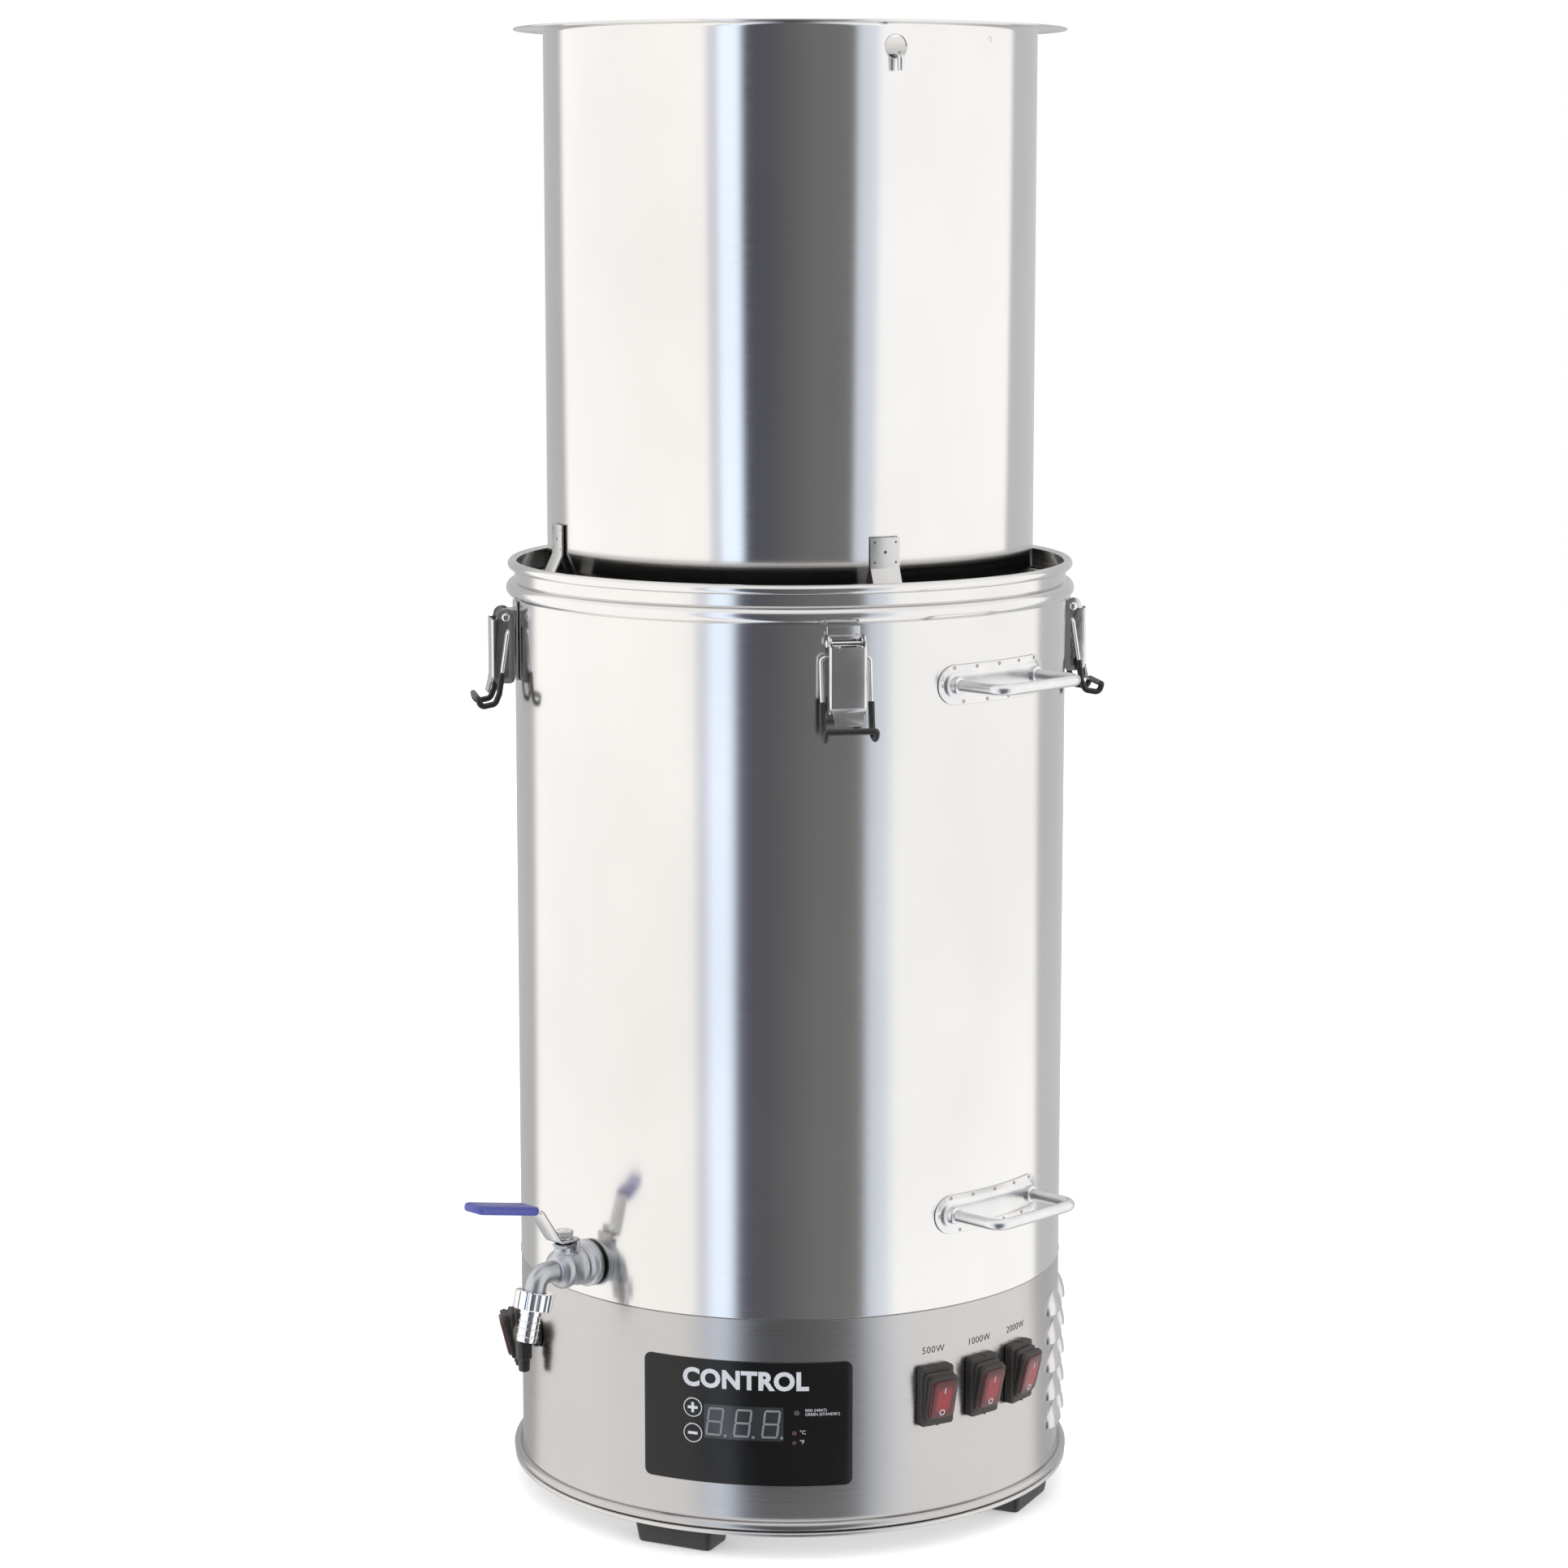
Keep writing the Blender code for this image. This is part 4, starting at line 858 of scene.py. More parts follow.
def tap():
    wall = SHELL_RADIUS
    seal = lathe([(0.0158, wall + 0.0019), (0.0163, wall + 0.0014), (0.0163, wall + 0.0006),
                  (0.0158, wall + 0.0002), (0.0109, wall + 0.0002), (0.0109, wall + 0.0019)], 96)
    piece("tap_seal", along_tap(seal), SLEEVE, "kettle", ("tap_gasket",))
    profile = [
        (0.0055, 0.2345), (0.0088, 0.2348), (0.0098, 0.2342), (0.0110, 0.2328), (0.0126, 0.2318),
        (0.0137, 0.2300), (0.0141, 0.2270), (0.0141, 0.2262), (0.0136, 0.2256), (0.0133, 0.2240),
        (0.0131, 0.2205), (0.0131, 0.2175), (0.0134, 0.2160), (0.0140, 0.2152), (0.0142, 0.2140),
        (0.0142, 0.2124), (0.0138, 0.2118), (0.0138, 0.2108), (0.0142, 0.2102), (0.0144, 0.2080),
        (0.0150, 0.2070), (0.0164, 0.2066), (0.0168, 0.2060), (0.0168, 0.2028), (0.0164, 0.2022),
        (0.0104, 0.2022), (0.0104, 0.1880), (0.0055, 0.1880),
    ]
    body = along_tap(lathe(profile, 96))
    spout = sweep(spout_line(0.2300, 0.0180), circle(0.0076, 40), (1, 0, 0))
    spout = moved(spout, at(TAP_AZIMUTH, 0, TAP_STEM.z))
    boss_profile = [(0.0, 0.0182), (0.0062, 0.0182), (0.0067, 0.0177), (0.0068, 0.0140), (0.0070, 0.0130),
                    (0.0078, 0.0118), (0.0092, 0.0100), (0.0100, 0.0060), (0.0, 0.0060)]
    boss = moved(solid(boss_profile, 64), Matrix.Translation(TAP_STEM))
    piece("tap_casting", merged(body, spout, boss), CAST, "kettle", ("valve_body",), sharp=50)
    gland = moved(hex_nut(0.0080, 0.0026), Matrix.Translation(TAP_STEM + Vector((0, 0, 0.0156))))
    lever_place = at(TAP_AZIMUTH, STEM_RADIUS, TAP_STEM.z)
    stop = moved(soft_box((-0.0040, 0.0080, 0.0130), (0.0040, 0.0100, 0.0182), 0.0008), lever_place)
    piece("tap_gland", merged(gland, stop), POLISHED, "kettle")

    base_z, rise, sheet, slope = 0.0200, 0.0262, 0.0022, 0.2
    level = base_z + rise + 0.001
    line = fillet([
        (0, 0.0080, base_z), (0, -0.0085, base_z),
        (0, -0.0265, level - 0.0008), (0, -0.0815, level + 0.0525 * slope),
    ], 0.0060, 12)
    middle_line = [point + Vector((0, 0, sheet / 2)) for point in line]
    strap = sweep(middle_line, rounded(0.0160, sheet, 0.0005, 3), (1, 0, 0))
    cheek = soft_box((-0.0080, 0.0062, base_z - 0.0085), (0.0080, 0.0082, base_z + sheet), 0.0006)
    piece("tap_strap", merged(strap, cheek), POLISHED, "tap_lever", ("valve_lever",),
          lever_place)

    grip_start = Vector((0, -0.0315, level + 0.0025 * slope + sheet / 2))
    grip_end = Vector((0, -0.0850, level + 0.0560 * slope + sheet / 2))
    count = 24
    path, scales = [], []
    for i in range(count + 1):
        share = i / count
        path.append(grip_start.lerp(grip_end, share))
        closing = max(0.0, (share - 0.93) / 0.07)
        opening = max(0.0, (0.03 - share) / 0.03)
        scales.append(1.0 - 0.42 * closing ** 2 - 0.05 * opening)
    sleeve = sweep(path, rounded(0.0204, 0.0064, 0.0028, 8), (1, 0, 0), scales)
    piece("tap_sleeve", sleeve, VINYL, "tap_lever", ("lever_grip",), lever_place, sharp=60)

    nut_z = base_z + sheet + 0.0003
    washer = lathe([
        (0.0074, nut_z + 0.0009), (0.0076, nut_z + 0.0007), (0.0076, nut_z + 0.0002),
        (0.0074, nut_z), (0.0033, nut_z), (0.0033, nut_z + 0.0009),
    ], 48)
    nut = moved(hex_nut(0.0070, 0.0046, 0.0008), shift(0, 0, nut_z + 0.0009))
    end = solid([
        (0.0, nut_z + 0.0060), (0.0028, nut_z + 0.0060), (0.0033, nut_z + 0.0055),
        (0.0033, nut_z + 0.0050), (0.0, nut_z + 0.0050),
    ], 32)
    piece("tap_stem_nut", merged(washer, nut, end), POLISHED, "tap_lever", ("stem_nut",),
          lever_place)


def outlet():
    """The lobed coupling nut and the ringed hose barb below the spout."""
    lobes, sides = 12, 120
    bm = bmesh.new()
    loops = []
    for radius, z, groove in ((0.0132, 0.0, 0.0013), (0.0138, -0.0006, 0.0013), (0.0138, -0.0124, 0.0013),
                              (0.0132, -0.0130, 0.0013), (0.0086, -0.0130, 0.0), (0.0086, 0.0, 0.0)):
        loop = []
        for i in range(sides):
            turn = 2 * math.pi * i / sides
            reach = radius - groove * (1 - abs(math.sin(turn * lobes / 2)) ** 0.28)
            loop.append(bm.verts.new((reach * math.cos(turn), reach * math.sin(turn), z)))
        loops.append(loop)
    for first, second in zip(loops, loops[1:] + loops[:1]):
        bridge(bm, first, second)
    piece("coupling_ring", bm, CHROME, "kettle", ("coupling_nut",), on_spout(0.0115), sharp=30)
    profile = [(0.0078, 0.0), (0.0078, -0.0100)]
    for ring in range(3):
        top = -0.0105 - 0.0050 * ring
        profile += [(0.0071, top), (0.0071, top - 0.0036), (0.0077, top - 0.0040), (0.0077, top - 0.0046)]
    profile += [
        (0.0072, -0.0256), (0.0071, -0.0284), (0.0067, -0.0290),
        (0.0050, -0.0290), (0.0046, -0.0284), (0.0046, 0.0),
    ]
    piece("barb_tube", lathe(profile, 64), CHROME, "kettle", ("hose_barb",), on_spout(0.0183))


def cord_outlet():
    """The elbow gland of the mains lead, with its tapered stub."""
    azimuth = azimuth_of(middle("cord_gland"))
    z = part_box("cord_gland")[1].z - 0.0074
    barrel = solid([(0.0, 0.2168), (0.0064, 0.2168), (0.0074, 0.2158), (0.0074, 0.1860), (0.0, 0.1860)], 48)
    collar = lathe([
        (0.0098, 0.2036), (0.0104, 0.2030), (0.0104, 0.2008),
        (0.0098, 0.2003), (0.0070, 0.2003), (0.0070, 0.2036),
    ], 48)
    spout = moved(solid([
        (0.0, 0.0), (0.0058, 0.0), (0.0058, -0.0175), (0.0052, -0.0186), (0.0045, -0.0190), (0.0043, -0.0200),
        (0.0042, -0.0268), (0.0036, -0.0278), (0.0, -0.0278),
    ], 48), shift(0, -0.2110, 0))
    gland = merged(moved(barrel, FACE_OUT), moved(collar, FACE_OUT), spout)
    piece("lead_gland", gland, BLACK, "kettle", ("cord_gland",), at(azimuth, 0, z))


# Handles

def obround(width, height, per_end=20):
    return rounded(width, height, height / 2 - 0.0001, per_end)


def handle(level, side, azimuth, z):
    plate = []
    base = shift(0, -0.0003, z)
    for inset, out in (
        (0.0, 0.0), (0.0, 0.0006), (0.0003, 0.0010), (0.0036, 0.0011), (0.0044, 0.0013), (0.0054, 0.0020),
        (0.0064, 0.0024), (0.0080, 0.0026), (0.0110, 0.00265),
    ):
        outline = obround(0.1100 - 2 * inset, 0.0280 - 2 * inset)
        plate.append([(x, -out, y) for x, y in outline])
    sheet = moved(split_columns(layers(plate), 0.004), base)
    piece(f"handle_pad_{level}_{side}", wrap(sheet, azimuth), POLISHED, "kettle",
          (f"handle_plate_{level}_{side}",), sharp=50)

    half, root, reach, radius = 0.0410, 0.2000, 0.2410, 0.0040
    path = fillet([(-half, -root, 0), (-half, -reach, 0), (half, -reach, 0), (half, -root, 0)], 0.0105, 14)
    bar = sweep(path, circle(radius, 28), (0, 0, 1))
    ferrules = []
    for hand in (-1, 1):
        foot = math.sqrt(SHELL_RADIUS ** 2 - half ** 2)
        ring = lathe([
            (0.0041, 0.0020), (0.0052, 0.0018), (0.0060, 0.0010), (0.0064, -0.0030), (0.0041, -0.0030),
        ], 36)
        ferrules.append(moved(ring, shift(hand * half, -foot - 0.0046, 0) @ FACE_OUT))
    piece(f"handle_bar_{level}_{side}", merged(bar, *ferrules), POLISHED, "kettle",
          (f"handle_{level}_{side}",), at(azimuth, 0, z))

    spots = []
    for x, up in ((-0.042, 1), (-0.022, 1), (0.0, 1), (0.022, 1), (0.042, 1),
                  (-0.034, -1), (-0.012, -1), (0.010, -1), (0.032, -1), (-0.0515, 0), (0.0515, 0)):
        dot = [(0.0006, 0.00025), (0.0009, 0.00032), (0.0012, 0.00025), (0.0013, 0.0), (0.0005, 0.0)]
        spot = moved(lathe(dot, 16), shift(x, -0.00132, z + up * 0.0118) @ FACE_OUT)
        spots.append(spot)
    piece(f"handle_spots_{level}_{side}", wrap(merged(*spots), azimuth), WELD, "kettle")


def handles():
    for level in ("lower", "upper"):
        z = middle(f"handle_{level}_right").z
        for side, azimuth in (("right", HANDLE_AZIMUTH), ("left", HANDLE_AZIMUTH + 180)):
            handle(level, side, azimuth, z)


# Malt pipe

def malt_pipe():
    inner = PIPE_RADIUS - WALL
    top = FLANGE_TOP
    profile = [(inner - 0.0004, top - 0.0004), (inner, top), (FLANGE_RADIUS - 0.0004, top)]
    profile += arc((FLANGE_RADIUS - 0.0006, top - 0.0006), 0.0006, 90, -90, 7)
    profile += arc((PIPE_RADIUS + 0.003, top - 0.0042), 0.003, 90, 180, 8)
    profile += [(PIPE_RADIUS, PIPE_BOTTOM + 0.003), (PIPE_RADIUS - 0.001, PIPE_BOTTOM + 0.0006)]
    profile += [(PIPE_RADIUS - 0.0025, PIPE_BOTTOM), (0.1680, PIPE_BOTTOM), (0.1680, PIPE_BOTTOM + 0.0012)]
    profile += [(inner, PIPE_BOTTOM + 0.0012)]
    pipe = lathe(profile)
    holes = []
    for turn in (0, 180):
        bore = solid([(0.0, 0.01), (HOOK_HOLE_RADIUS, 0.01), (HOOK_HOLE_RADIUS, -0.01), (0.0, -0.01)], 48)
        holes.append(moved(bore, at(HOOK_AZIMUTH + turn, PIPE_RADIUS, HOOK_HOLE_Z) @ FACE_OUT))
    piece("pipe_wall", cut_away(pipe, *holes), PIPE_STEEL, "malt_pipe", ("malt_pipe",))
    rims = []
    for turn in (0, 180):
        lip = lathe(arc((HOOK_HOLE_RADIUS + 0.0002, 0.0), 0.0004, 0, 330, 12), 48)
        rims.append(moved(lip, at(HOOK_AZIMUTH + turn, PIPE_RADIUS - 0.0003, HOOK_HOLE_Z) @ FACE_OUT))
    # One small weld mark under the flange
    mark = solid([(0.0, 0.0004), (0.0016, 0.0003), (0.0024, 0.0), (0.0, 0.0)], 20)
    rims.append(moved(mark, at(60.0, PIPE_RADIUS, FLANGE_TOP - 0.0110) @ FACE_OUT))
    piece("hook_hole_lips", merged(*rims), POLISHED, "malt_pipe")


def screen():
    """The pipe's perforated floor: a hexagonal grid of round holes inside a plain rim."""
    low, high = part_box("malt_screen")
    rim, pitch, hole, sides = high.x, 0.0105, 0.0030, 12
    top, bottom = high.z, low.z
    limit = rim - 0.010
    bm = bmesh.new()
    cells = []
    rows = int(limit / (pitch * 0.866)) + 1
    for row in range(-rows, rows + 1):
        for column in range(-rows, rows + 1):
            x = (column + 0.5 * (row % 2)) * pitch
            y = row * pitch * math.sqrt(3) / 2
            if math.hypot(x, y) < limit - pitch * 0.6:
                cells.append((x, y))
    def ring_at(x, y, radius, z, sides):
        return [(x + radius * math.cos(math.radians(30 + 360 * i / sides)),
                 y + radius * math.sin(math.radians(30 + 360 * i / sides)), z) for i in range(sides)]

    for z in (top, bottom):
        for x, y in cells:
            outer = ring_at(x, y, pitch / math.sqrt(3), z, 6)
            edge = []
            for a, b in zip(outer, outer[1:] + outer[:1]):
                edge += [a, ((a[0] + b[0]) / 2, (a[1] + b[1]) / 2, z)]
            ring = ring_at(x, y, hole, z, sides)
            bridge(bm, [bm.verts.new(p) for p in edge], [bm.verts.new(p) for p in ring])
    for x, y in cells:
        bridge(bm, *[[bm.verts.new(p) for p in ring_at(x, y, hole, z, sides)] for z in (top, bottom)])
    bmesh.ops.remove_doubles(bm, verts=bm.verts, dist=1e-5)
    inner, over, under = limit - pitch * 0.9, top + 0.0001, bottom - 0.0001
    ring = lathe([(rim, over), (rim, under), (inner, under), (inner, over)], 144)
    piece("pipe_screen", merged(bm, ring), SHEET, "malt_pipe", ("malt_screen",))


def brackets():
    """Each bracket is one bent strip with five spot welds in its plate."""
    sheet, width = 0.0015, 0.0215
    plate = PIPE_RADIUS + 0.0006 + sheet / 2
    toe_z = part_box("pipe_bracket_1")[0].z + sheet / 2
    bend_z, top_z, toe = 0.6793, 0.7005, 0.1962
    path = fillet([
        (0, -plate, top_z), (0, -plate, bend_z), (0, -toe + 0.0026, toe_z), (0, -toe, toe_z),
    ], 0.0030, 8)
    for number, turn in enumerate(QUARTERS, 1):
        strip = sweep(path, rounded(width, sheet, 0.0004, 3), (1, 0, 0))
        spot = [(0.0, 0.0), (0.0006, 0.00006), (0.0009, 0.0), (0.0010, -0.0002), (0.0, -0.0002)]
        dots = []
        for x, z in ((0.0, 0.6905), (-0.0078, 0.6973), (0.0078, 0.6973), (-0.0078, 0.6835), (0.0078, 0.6835)):
            size = 1.25 if x == 0.0 else 0.85
            dot = moved(solid([(r * size, out) for r, out in spot], 20), FACE_OUT)
            dots.append(moved(dot, shift(x, -plate - sheet / 2 - 0.00003, z)))
        place = at(BRACKET_AZIMUTH + turn, 0, 0)
        piece(f"bracket_strip_{number}", strip, SHEET, "malt_pipe",
              (f"pipe_bracket_{number}",), place)
        piece(f"bracket_spots_{number}", merged(*dots), DARK_SPOT, "malt_pipe", matrix=place)


def lifting_bail():
    """The wire bail, hanging inside the pipe from hooks through its two holes."""
    hook, swing, drop, radius = PIPE_RADIUS + 0.0075, 0.1640, 0.0110, 0.0025
    half = fillet([(hook, 0, -drop), (hook, 0, 0), (swing, 0, 0)], 0.0038, 12)[:-1]
    bow = [(swing * math.cos(a), 0, -swing * math.sin(a)) for a in (math.pi * i / 72 for i in range(73))]
    path = half + [Vector(p) for p in bow] + [mirrored(point) for point in reversed(half)]
    ends = [1.0] * len(path)
    ends[0] = ends[-1] = 0.8
    z = JOINTS["lifting_bail_swing"]["pos_m"][2]
    place = shift(0, 0, z) @ Matrix.Rotation(math.radians(HOOK_AZIMUTH - 90), 4, "Z")
    wire = sweep(path, circle(radius, 20), (0, 1, 0), ends)
    piece("bail_wire", wire, POLISHED, "lifting_bail", ("lifting_bail",), place)


# Latches, made about the pin: -Y is outwards and the pin lies along X

def channel(half, front, back, thickness, low, high, corner):
    """A U-shaped strip open towards the wall, between two heights."""
    def outline(side, face, radius):
        points = [(-side, back)] + arc((-side + radius, face + radius), radius, 180, 270, 7)
        return points + arc((side - radius, face + radius), radius, 270, 360, 7) + [(side, back)]
    outer = outline(half, front, corner)
    inner = outline(half - thickness, front + thickness, max(corner - thickness, 0.0003))
    loop = outer + inner[::-1]
    bm = bmesh.new()
    rings = [[bm.verts.new((x, y, z)) for x, y in loop] for z in (low, high)]
    bridge(bm, rings[0], rings[1])
    count = len(outer)
    for ring, flip in ((rings[0], True), (rings[1], False)):
        for i in range(count - 1):
            quad = (ring[i], ring[i + 1], ring[-i - 2], ring[-i - 1])
            bm.faces.new(quad[::-1] if flip else quad)
    return bm


def soften_rims(bm, axis, bevel, segments):
    """Rounds the edges that lie square to this axis."""
    rims = [edge for edge in bm.edges if abs(edge.verts[0].co[axis] - edge.verts[1].co[axis]) < 1e-7]
    bmesh.ops.bevel(bm, geom=rims, offset=bevel, segments=segments, affect="EDGES", profile=0.5)
    return bm


def upright_plate(points, x, thickness, bevel=0.00025):
    """A flat plate across X from its (y, z) outline."""
    low, high = x - thickness / 2, x + thickness / 2
    bm = layers([[(side, y, z) for y, z in points] for side in (low, high)])
    bmesh.ops.recalc_face_normals(bm, faces=bm.faces)
    return soften_rims(bm, 0, bevel, 2)


def latch(number, pin):
    azimuth, radius = azimuth_of(pin), Vector(pin).xy.length
    place = at(azimuth, radius, pin[2])
    wall = radius - SHELL_RADIUS - 0.0003
    half = LATCH_HALF_WIDTH
    strap = soft_box((-half, wall - 0.0013, -0.0460), (half, wall, 0.0110), 0.0004)
    ears = []
    for side in (-1, 1):
        ear = [(wall - 0.0008, -0.0070), (-0.0022, -0.0070), (-0.0034, -0.0050)]
        ear += [(y, z) for y, z in arc((0.0, 0.0002), 0.0044, 215, 90, 12)] + [(wall - 0.0008, 0.0050)]
        ears.append(upright_plate(ear, side * (half - 0.0006), 0.0012))
        head = solid([(0.0, 0.0012), (0.0014, 0.0011), (0.0026, 0.0006), (0.0030, 0.0), (0.0, 0.0)], 28)
        quarter = Matrix.Rotation(math.radians(90 * side), 4, "Y")
        ears.append(moved(head, shift(side * 0.0133, 0, 0) @ quarter))
    roll = [
        (wall - 0.0010, 0.0050), (-0.0002, 0.0050), (-0.0012, 0.0044),
        (-0.0012, 0.0034), (-0.0004, 0.0038), (wall - 0.0010, 0.0038),
    ]
    hood_strip = upright_plate(roll, 0.0, 2 * half - 0.0014, 0.0002)
    shaft = moved(solid([(0.0, 0.0134), (0.0019, 0.0134), (0.0019, -0.0134), (0.0, -0.0134)], 28), ALONG_X)
    strap = merged(strap, hood_strip, shaft, *ears)
    piece(f"latch_strap_{number}", strap, LATCH_STEEL, "kettle", (f"latch_base_{number}",),
          place)

    face, side_x = -0.0103, 0.0124
    front = channel(0.0130, face, 0.0020, 0.0012, -0.0440, -0.0014, 0.0022)
    cheek = [(y, z) for y, z in arc((0.0, 0.0), 0.0064, 0, 180, 16)]
    cheek += [
        (-0.0070, -0.0012), (face + 0.0014, -0.0026), (face + 0.0012, -0.0440), (face + 0.0032, -0.0474),
        (0.0030, -0.0478), (0.0054, -0.0466), (0.0063, -0.0445),
    ]
    cheeks = [upright_plate(cheek, side * side_x, 0.0012) for side in (-1, 1)]
    tab_outline = [
        (-0.0128, 0.0002), (-0.0126, -0.0014), (-0.0104, -0.0030), (-0.0100, -0.0044), (-0.0100, -0.0112),
        (-0.0092, -0.0120), (0.0092, -0.0120), (0.0100, -0.0112), (0.0100, -0.0044), (0.0104, -0.0030),
        (0.0126, -0.0014), (0.0128, 0.0002),
    ]
    tab = layers([[(x, y, z) for x, z in tab_outline] for y in (-0.0006, 0.0006)])
    lean = Matrix.Rotation(math.radians(-14), 4, "X")
    tab = moved(soften_rims(tab, 1, 0.00035, 3), shift(0, face + 0.0006, -0.0432) @ lean)
    lugs = [soft_box((x - 0.0022, face - 0.0001, -0.0020), (x + 0.0022, face + 0.0012, -0.0006), 0.0003)
            for x in (-0.0078, 0.0078)]
    lever = merged(front, tab, *cheeks, *lugs)
    piece(f"latch_channel_{number}", lever, LATCH_STEEL, f"latch_lever_{number}",
          (f"latch_lever_{number}",), place)

    loop_place = at(azimuth, radius - 0.0012, pin[2] - 0.0095)
    right = fillet(LOOP_HALF, 0.0042, 9)
    hook = [point for point in right if point.z < -0.040 or point.y < -0.012]
    bare = [point for point in right if point.z > -0.030 and point.y > -0.010]
    bare.append(on_leg(BARE_LENGTH))
    wires = []
    for side in (-1, 1):
        path = [mirrored(point) if side < 0 else point for point in bare]
        wires.append(sweep(path, circle(0.0013, 20), (0, 1, 0)))
    piece(f"latch_wire_{number}", merged(*wires), CHROME, f"latch_bail_{number}", matrix=loop_place)
    top = on_leg(SLEEVE_START)
    right_sleeve = [top, top.lerp(hook[0], 0.06)] + hook
    half_sleeve = right_sleeve[:-1] + bend_between(*right_sleeve[-2:])
    path = half_sleeve + [mirrored(point) for point in reversed(half_sleeve)]
    ends = [0.86] + [1.0] * (len(path) - 2) + [0.86]
    sleeve = sweep(path, circle(0.0022, 20), (0, 1, 0), ends)
    piece(f"latch_sleeve_{number}", sleeve, SLEEVE, f"latch_bail_{number}",
          (f"latch_bail_{number}",), loop_place)


LOOP_HALF = [
    (0.0106, 0.0, 0.0), (0.0170, 0.0, 0.0), (0.0170, -0.0068, -0.0450),
    (0.0170, -0.0098, -0.0522), (0.0170, -0.0202, -0.0542), (0.0174, -0.0222, -0.0480),
]
BARE_LENGTH, SLEEVE_START = 0.0330, 0.0298


def on_leg(down):
    """The point of the wire loop's right leg this far below its hinge."""
    start, end = Vector(LOOP_HALF[1]), Vector(LOOP_HALF[2])
    return start.lerp(end, down / (start.z - end.z))


def bend_between(before, corner):
    """The rounded turn from the hook into the crossbar."""
    return fillet([before, corner, mirrored(corner)], 0.0036, 9)[1:-1]


def latches():
    for number, pin in enumerate(LATCHES, 1):
        latch(number, pin)


kettle_wall()
support_tabs()
skirt()
base()
panel()
display()
buttons()
switches()
tap()
outlet()
cord_outlet()
handles()
malt_pipe()
screen()
brackets()
lifting_bail()
latches()

# Parts that keep their own shape
KEPT = {
    "kettle_floor": SHEET,
    "heating_element_500w": ALUMINIUM,
    "heating_element_1000w": ALUMINIUM,
    "heating_element_2000w": ALUMINIUM,
    "tap_lock_nut": POLISHED,
    "valve_ball": CHROME,
}
for name, surface in KEPT.items():
    node = frame["nodes"][name]
    node.data.materials.clear()
    node.data.materials.append(surface)


# Studio

def floor():
    span = 6.0
    mesh = bpy.data.meshes.new("floor")
    corners = [(-span, -span, SOLE_Z), (span, -span, SOLE_Z), (span, span, SOLE_Z), (-span, span, SOLE_Z)]
    mesh.from_pydata(corners, [], [(0, 1, 2, 3)])
    surface = bpy.data.materials.new("pale_floor")
    surface.use_nodes = True
    shader = surface.node_tree.nodes["Principled BSDF"]
    shader.inputs["Base Color"].default_value = (0.93, 0.93, 0.93, 1.0)
    shader.inputs["Roughness"].default_value = 0.9
    shader.inputs["Emission Color"].default_value = (1.0, 1.0, 1.0, 1.0)
    shader.inputs["Emission Strength"].default_value = 0.35
    mesh.materials.append(surface)
    obj = linked("floor", mesh)
    obj.visible_glossy = False


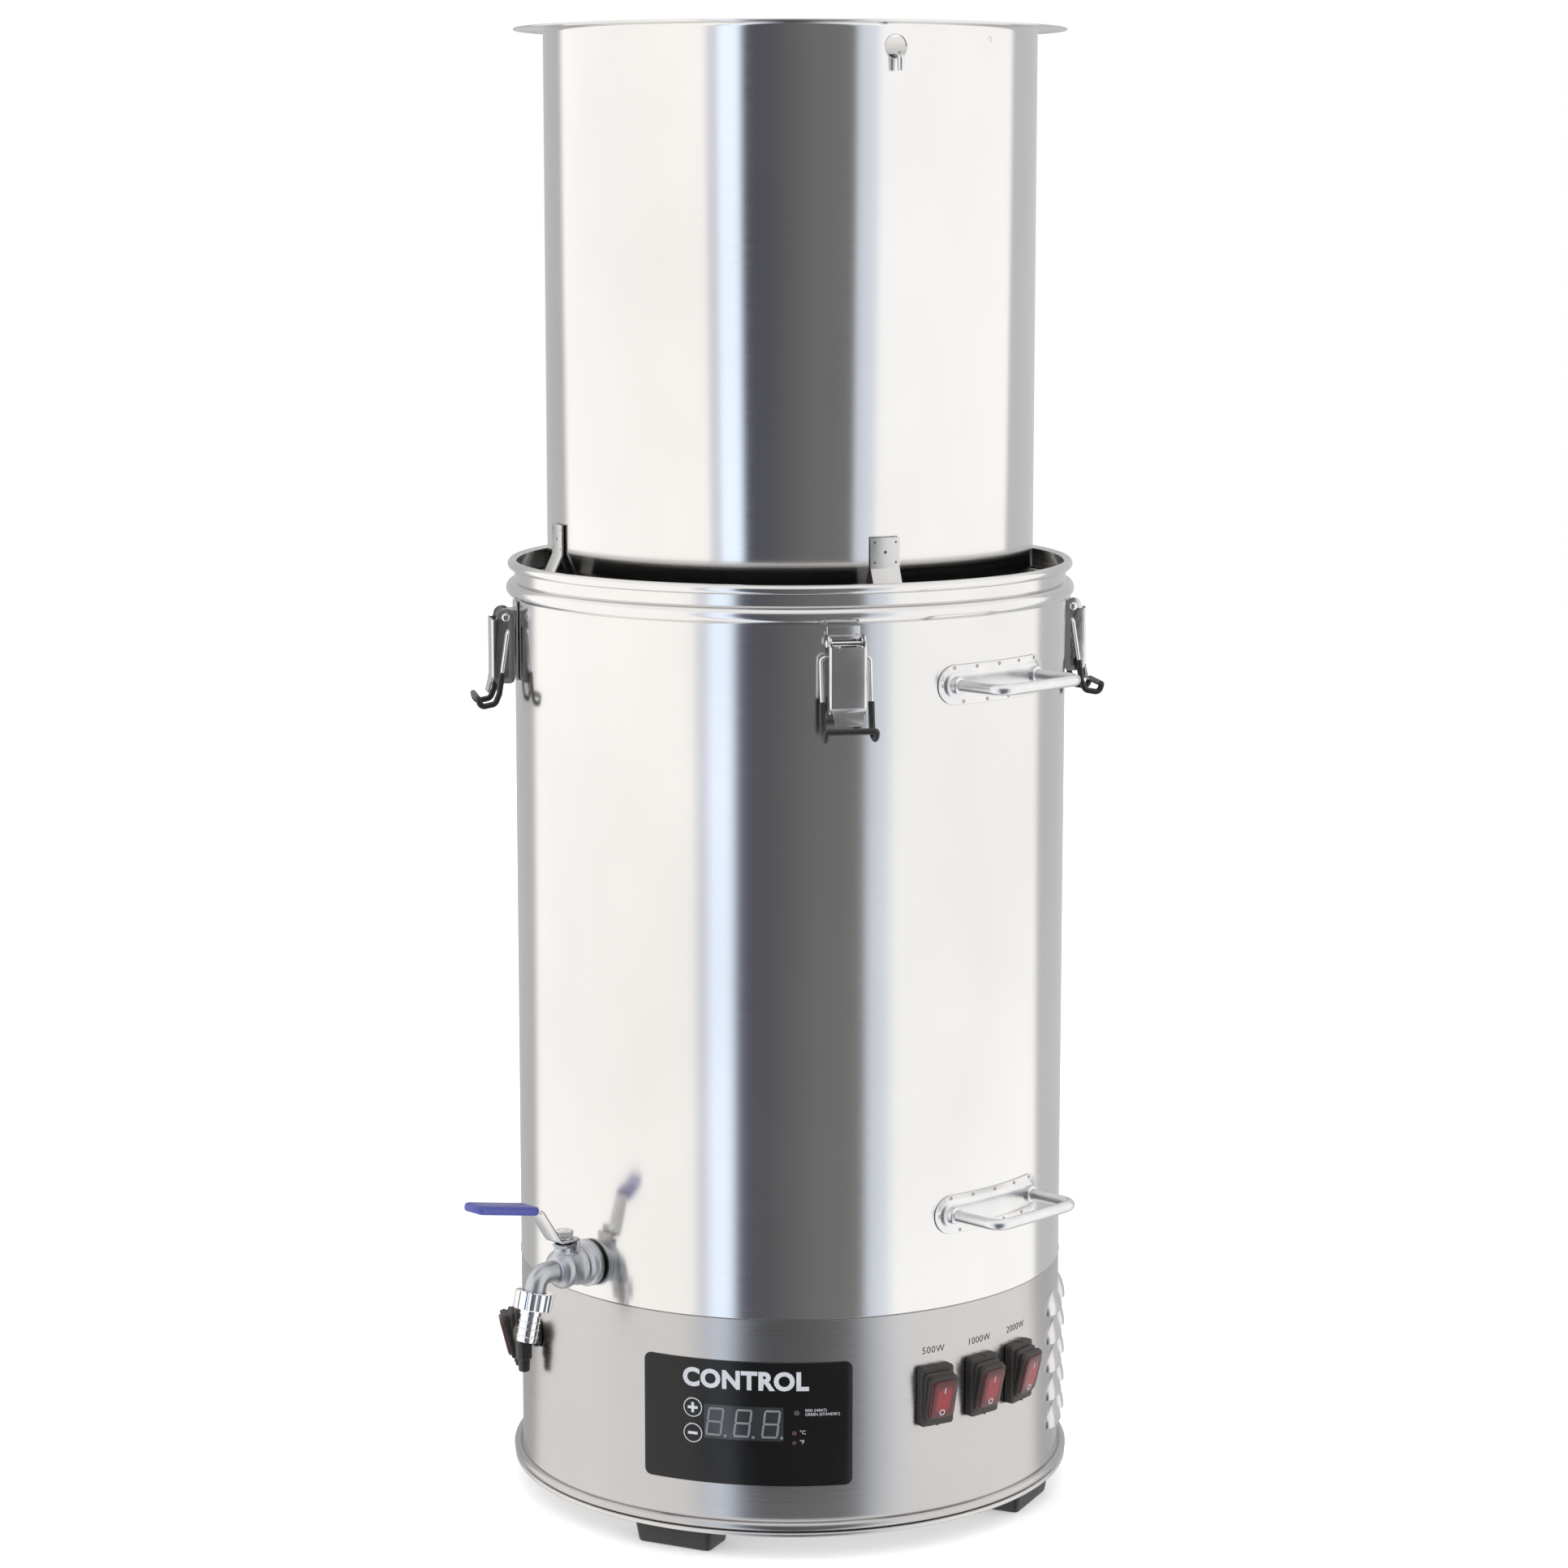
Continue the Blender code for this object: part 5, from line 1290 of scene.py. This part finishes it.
def studio():
    """Tall soft boxes and dark cards all round, as bands of the surroundings by azimuth, white overhead."""
    world = bpy.data.worlds.new("studio")
    bpy.context.scene.world = world
    world.use_nodes = True
    tree = world.node_tree
    tree.nodes.clear()

    def node(kind, **values):
        return add_node(tree, kind, **values)

    def math_node(operation, first, second=None):
        made = node("ShaderNodeMath", operation=operation)
        for socket, value in zip(made.inputs, (first, second)):
            if isinstance(value, (int, float)):
                socket.default_value = value
            elif value:
                tree.links.new(value, socket)
        return made.outputs[0]

    direction = node("ShaderNodeSeparateXYZ")
    tree.links.new(node("ShaderNodeTexCoord").outputs["Generated"], direction.inputs["Vector"])
    angle = math_node("ARCTAN2", direction.outputs["X"], math_node("MULTIPLY", direction.outputs["Y"], -1.0))
    turn = math_node("ADD", math_node("MULTIPLY", angle, 0.5 / math.pi), 0.5)
    bands = node("ShaderNodeValToRGB")
    stops = bands.color_ramp.elements
    wanted = [(azimuth / 360 + 0.5, color) for azimuth, color in BANDS]
    stops[0].position, stops[0].color = wanted[0][0], (*wanted[0][1], 1.0)
    stops[1].position, stops[1].color = wanted[-1][0], (*wanted[-1][1], 1.0)
    for position, color in wanted[1:-1]:
        stop = stops.new(position)
        stop.color = (*color, 1.0)
    tree.links.new(turn, bands.inputs["Fac"])

    height = node("ShaderNodeMapRange")
    height.inputs["From Min"].default_value = 0.35
    height.inputs["From Max"].default_value = 0.70
    tree.links.new(direction.outputs["Z"], height.inputs["Value"])
    overhead = node("ShaderNodeMix", data_type="RGBA")
    overhead.inputs["B"].default_value = (*OVERHEAD, 1.0)
    tree.links.new(height.outputs["Result"], overhead.inputs["Factor"])
    tree.links.new(bands.outputs["Color"], overhead.inputs["A"])

    seen = node("ShaderNodeMix", data_type="RGBA")
    seen.inputs["B"].default_value = (1.0, 1.0, 1.0, 1.0)
    tree.links.new(node("ShaderNodeLightPath").outputs["Is Camera Ray"], seen.inputs["Factor"])
    tree.links.new(overhead.outputs["Result"], seen.inputs["A"])
    background = node("ShaderNodeBackground")
    background.inputs["Strength"].default_value = 1.0
    tree.links.new(seen.outputs["Result"], background.inputs["Color"])
    output = node("ShaderNodeOutputWorld")
    tree.links.new(background.outputs["Background"], output.inputs["Surface"])


OVERHEAD = (1.15, 1.15, 1.15)
BANDS = [
    (-180, (0.58, 0.58, 0.585)), (-127, (0.58, 0.58, 0.585)), (-121, (1.33, 1.31, 1.29)),
    (-31, (1.34, 1.31, 1.28)), (-29, (0.86, 0.86, 0.95)), (-25, (0.86, 0.86, 0.95)),
    (-23.5, (1.22, 1.38, 1.60)), (-15, (1.22, 1.38, 1.60)), (-12, (0.092, 0.098, 0.128)),
    (2, (0.130, 0.130, 0.140)), (20, (0.200, 0.200, 0.200)), (38.5, (0.220, 0.220, 0.220)),
    (41, (0.82, 0.88, 0.98)), (49, (0.94, 1.00, 1.10)), (52, (1.30, 1.30, 1.30)),
    (132, (1.31, 1.30, 1.28)), (136, (0.66, 0.66, 0.67)), (180, (0.66, 0.66, 0.67)),
]


def camera():
    azimuth, distance, height = 9.0, 2.839, 0.9487
    data = bpy.data.cameras.new("camera")
    data.lens = 90.0
    data.sensor_width = 36.0
    data.clip_start, data.clip_end = 0.05, 60.0
    obj = linked("camera", data)
    obj.location = outward(azimuth, distance, height)
    obj.rotation_euler = (math.radians(90 - 8.90), 0, math.radians(azimuth + 0.089))
    bpy.context.scene.camera = obj


floor()
studio()
camera()
bpy.context.scene.view_settings.view_transform = "Standard"
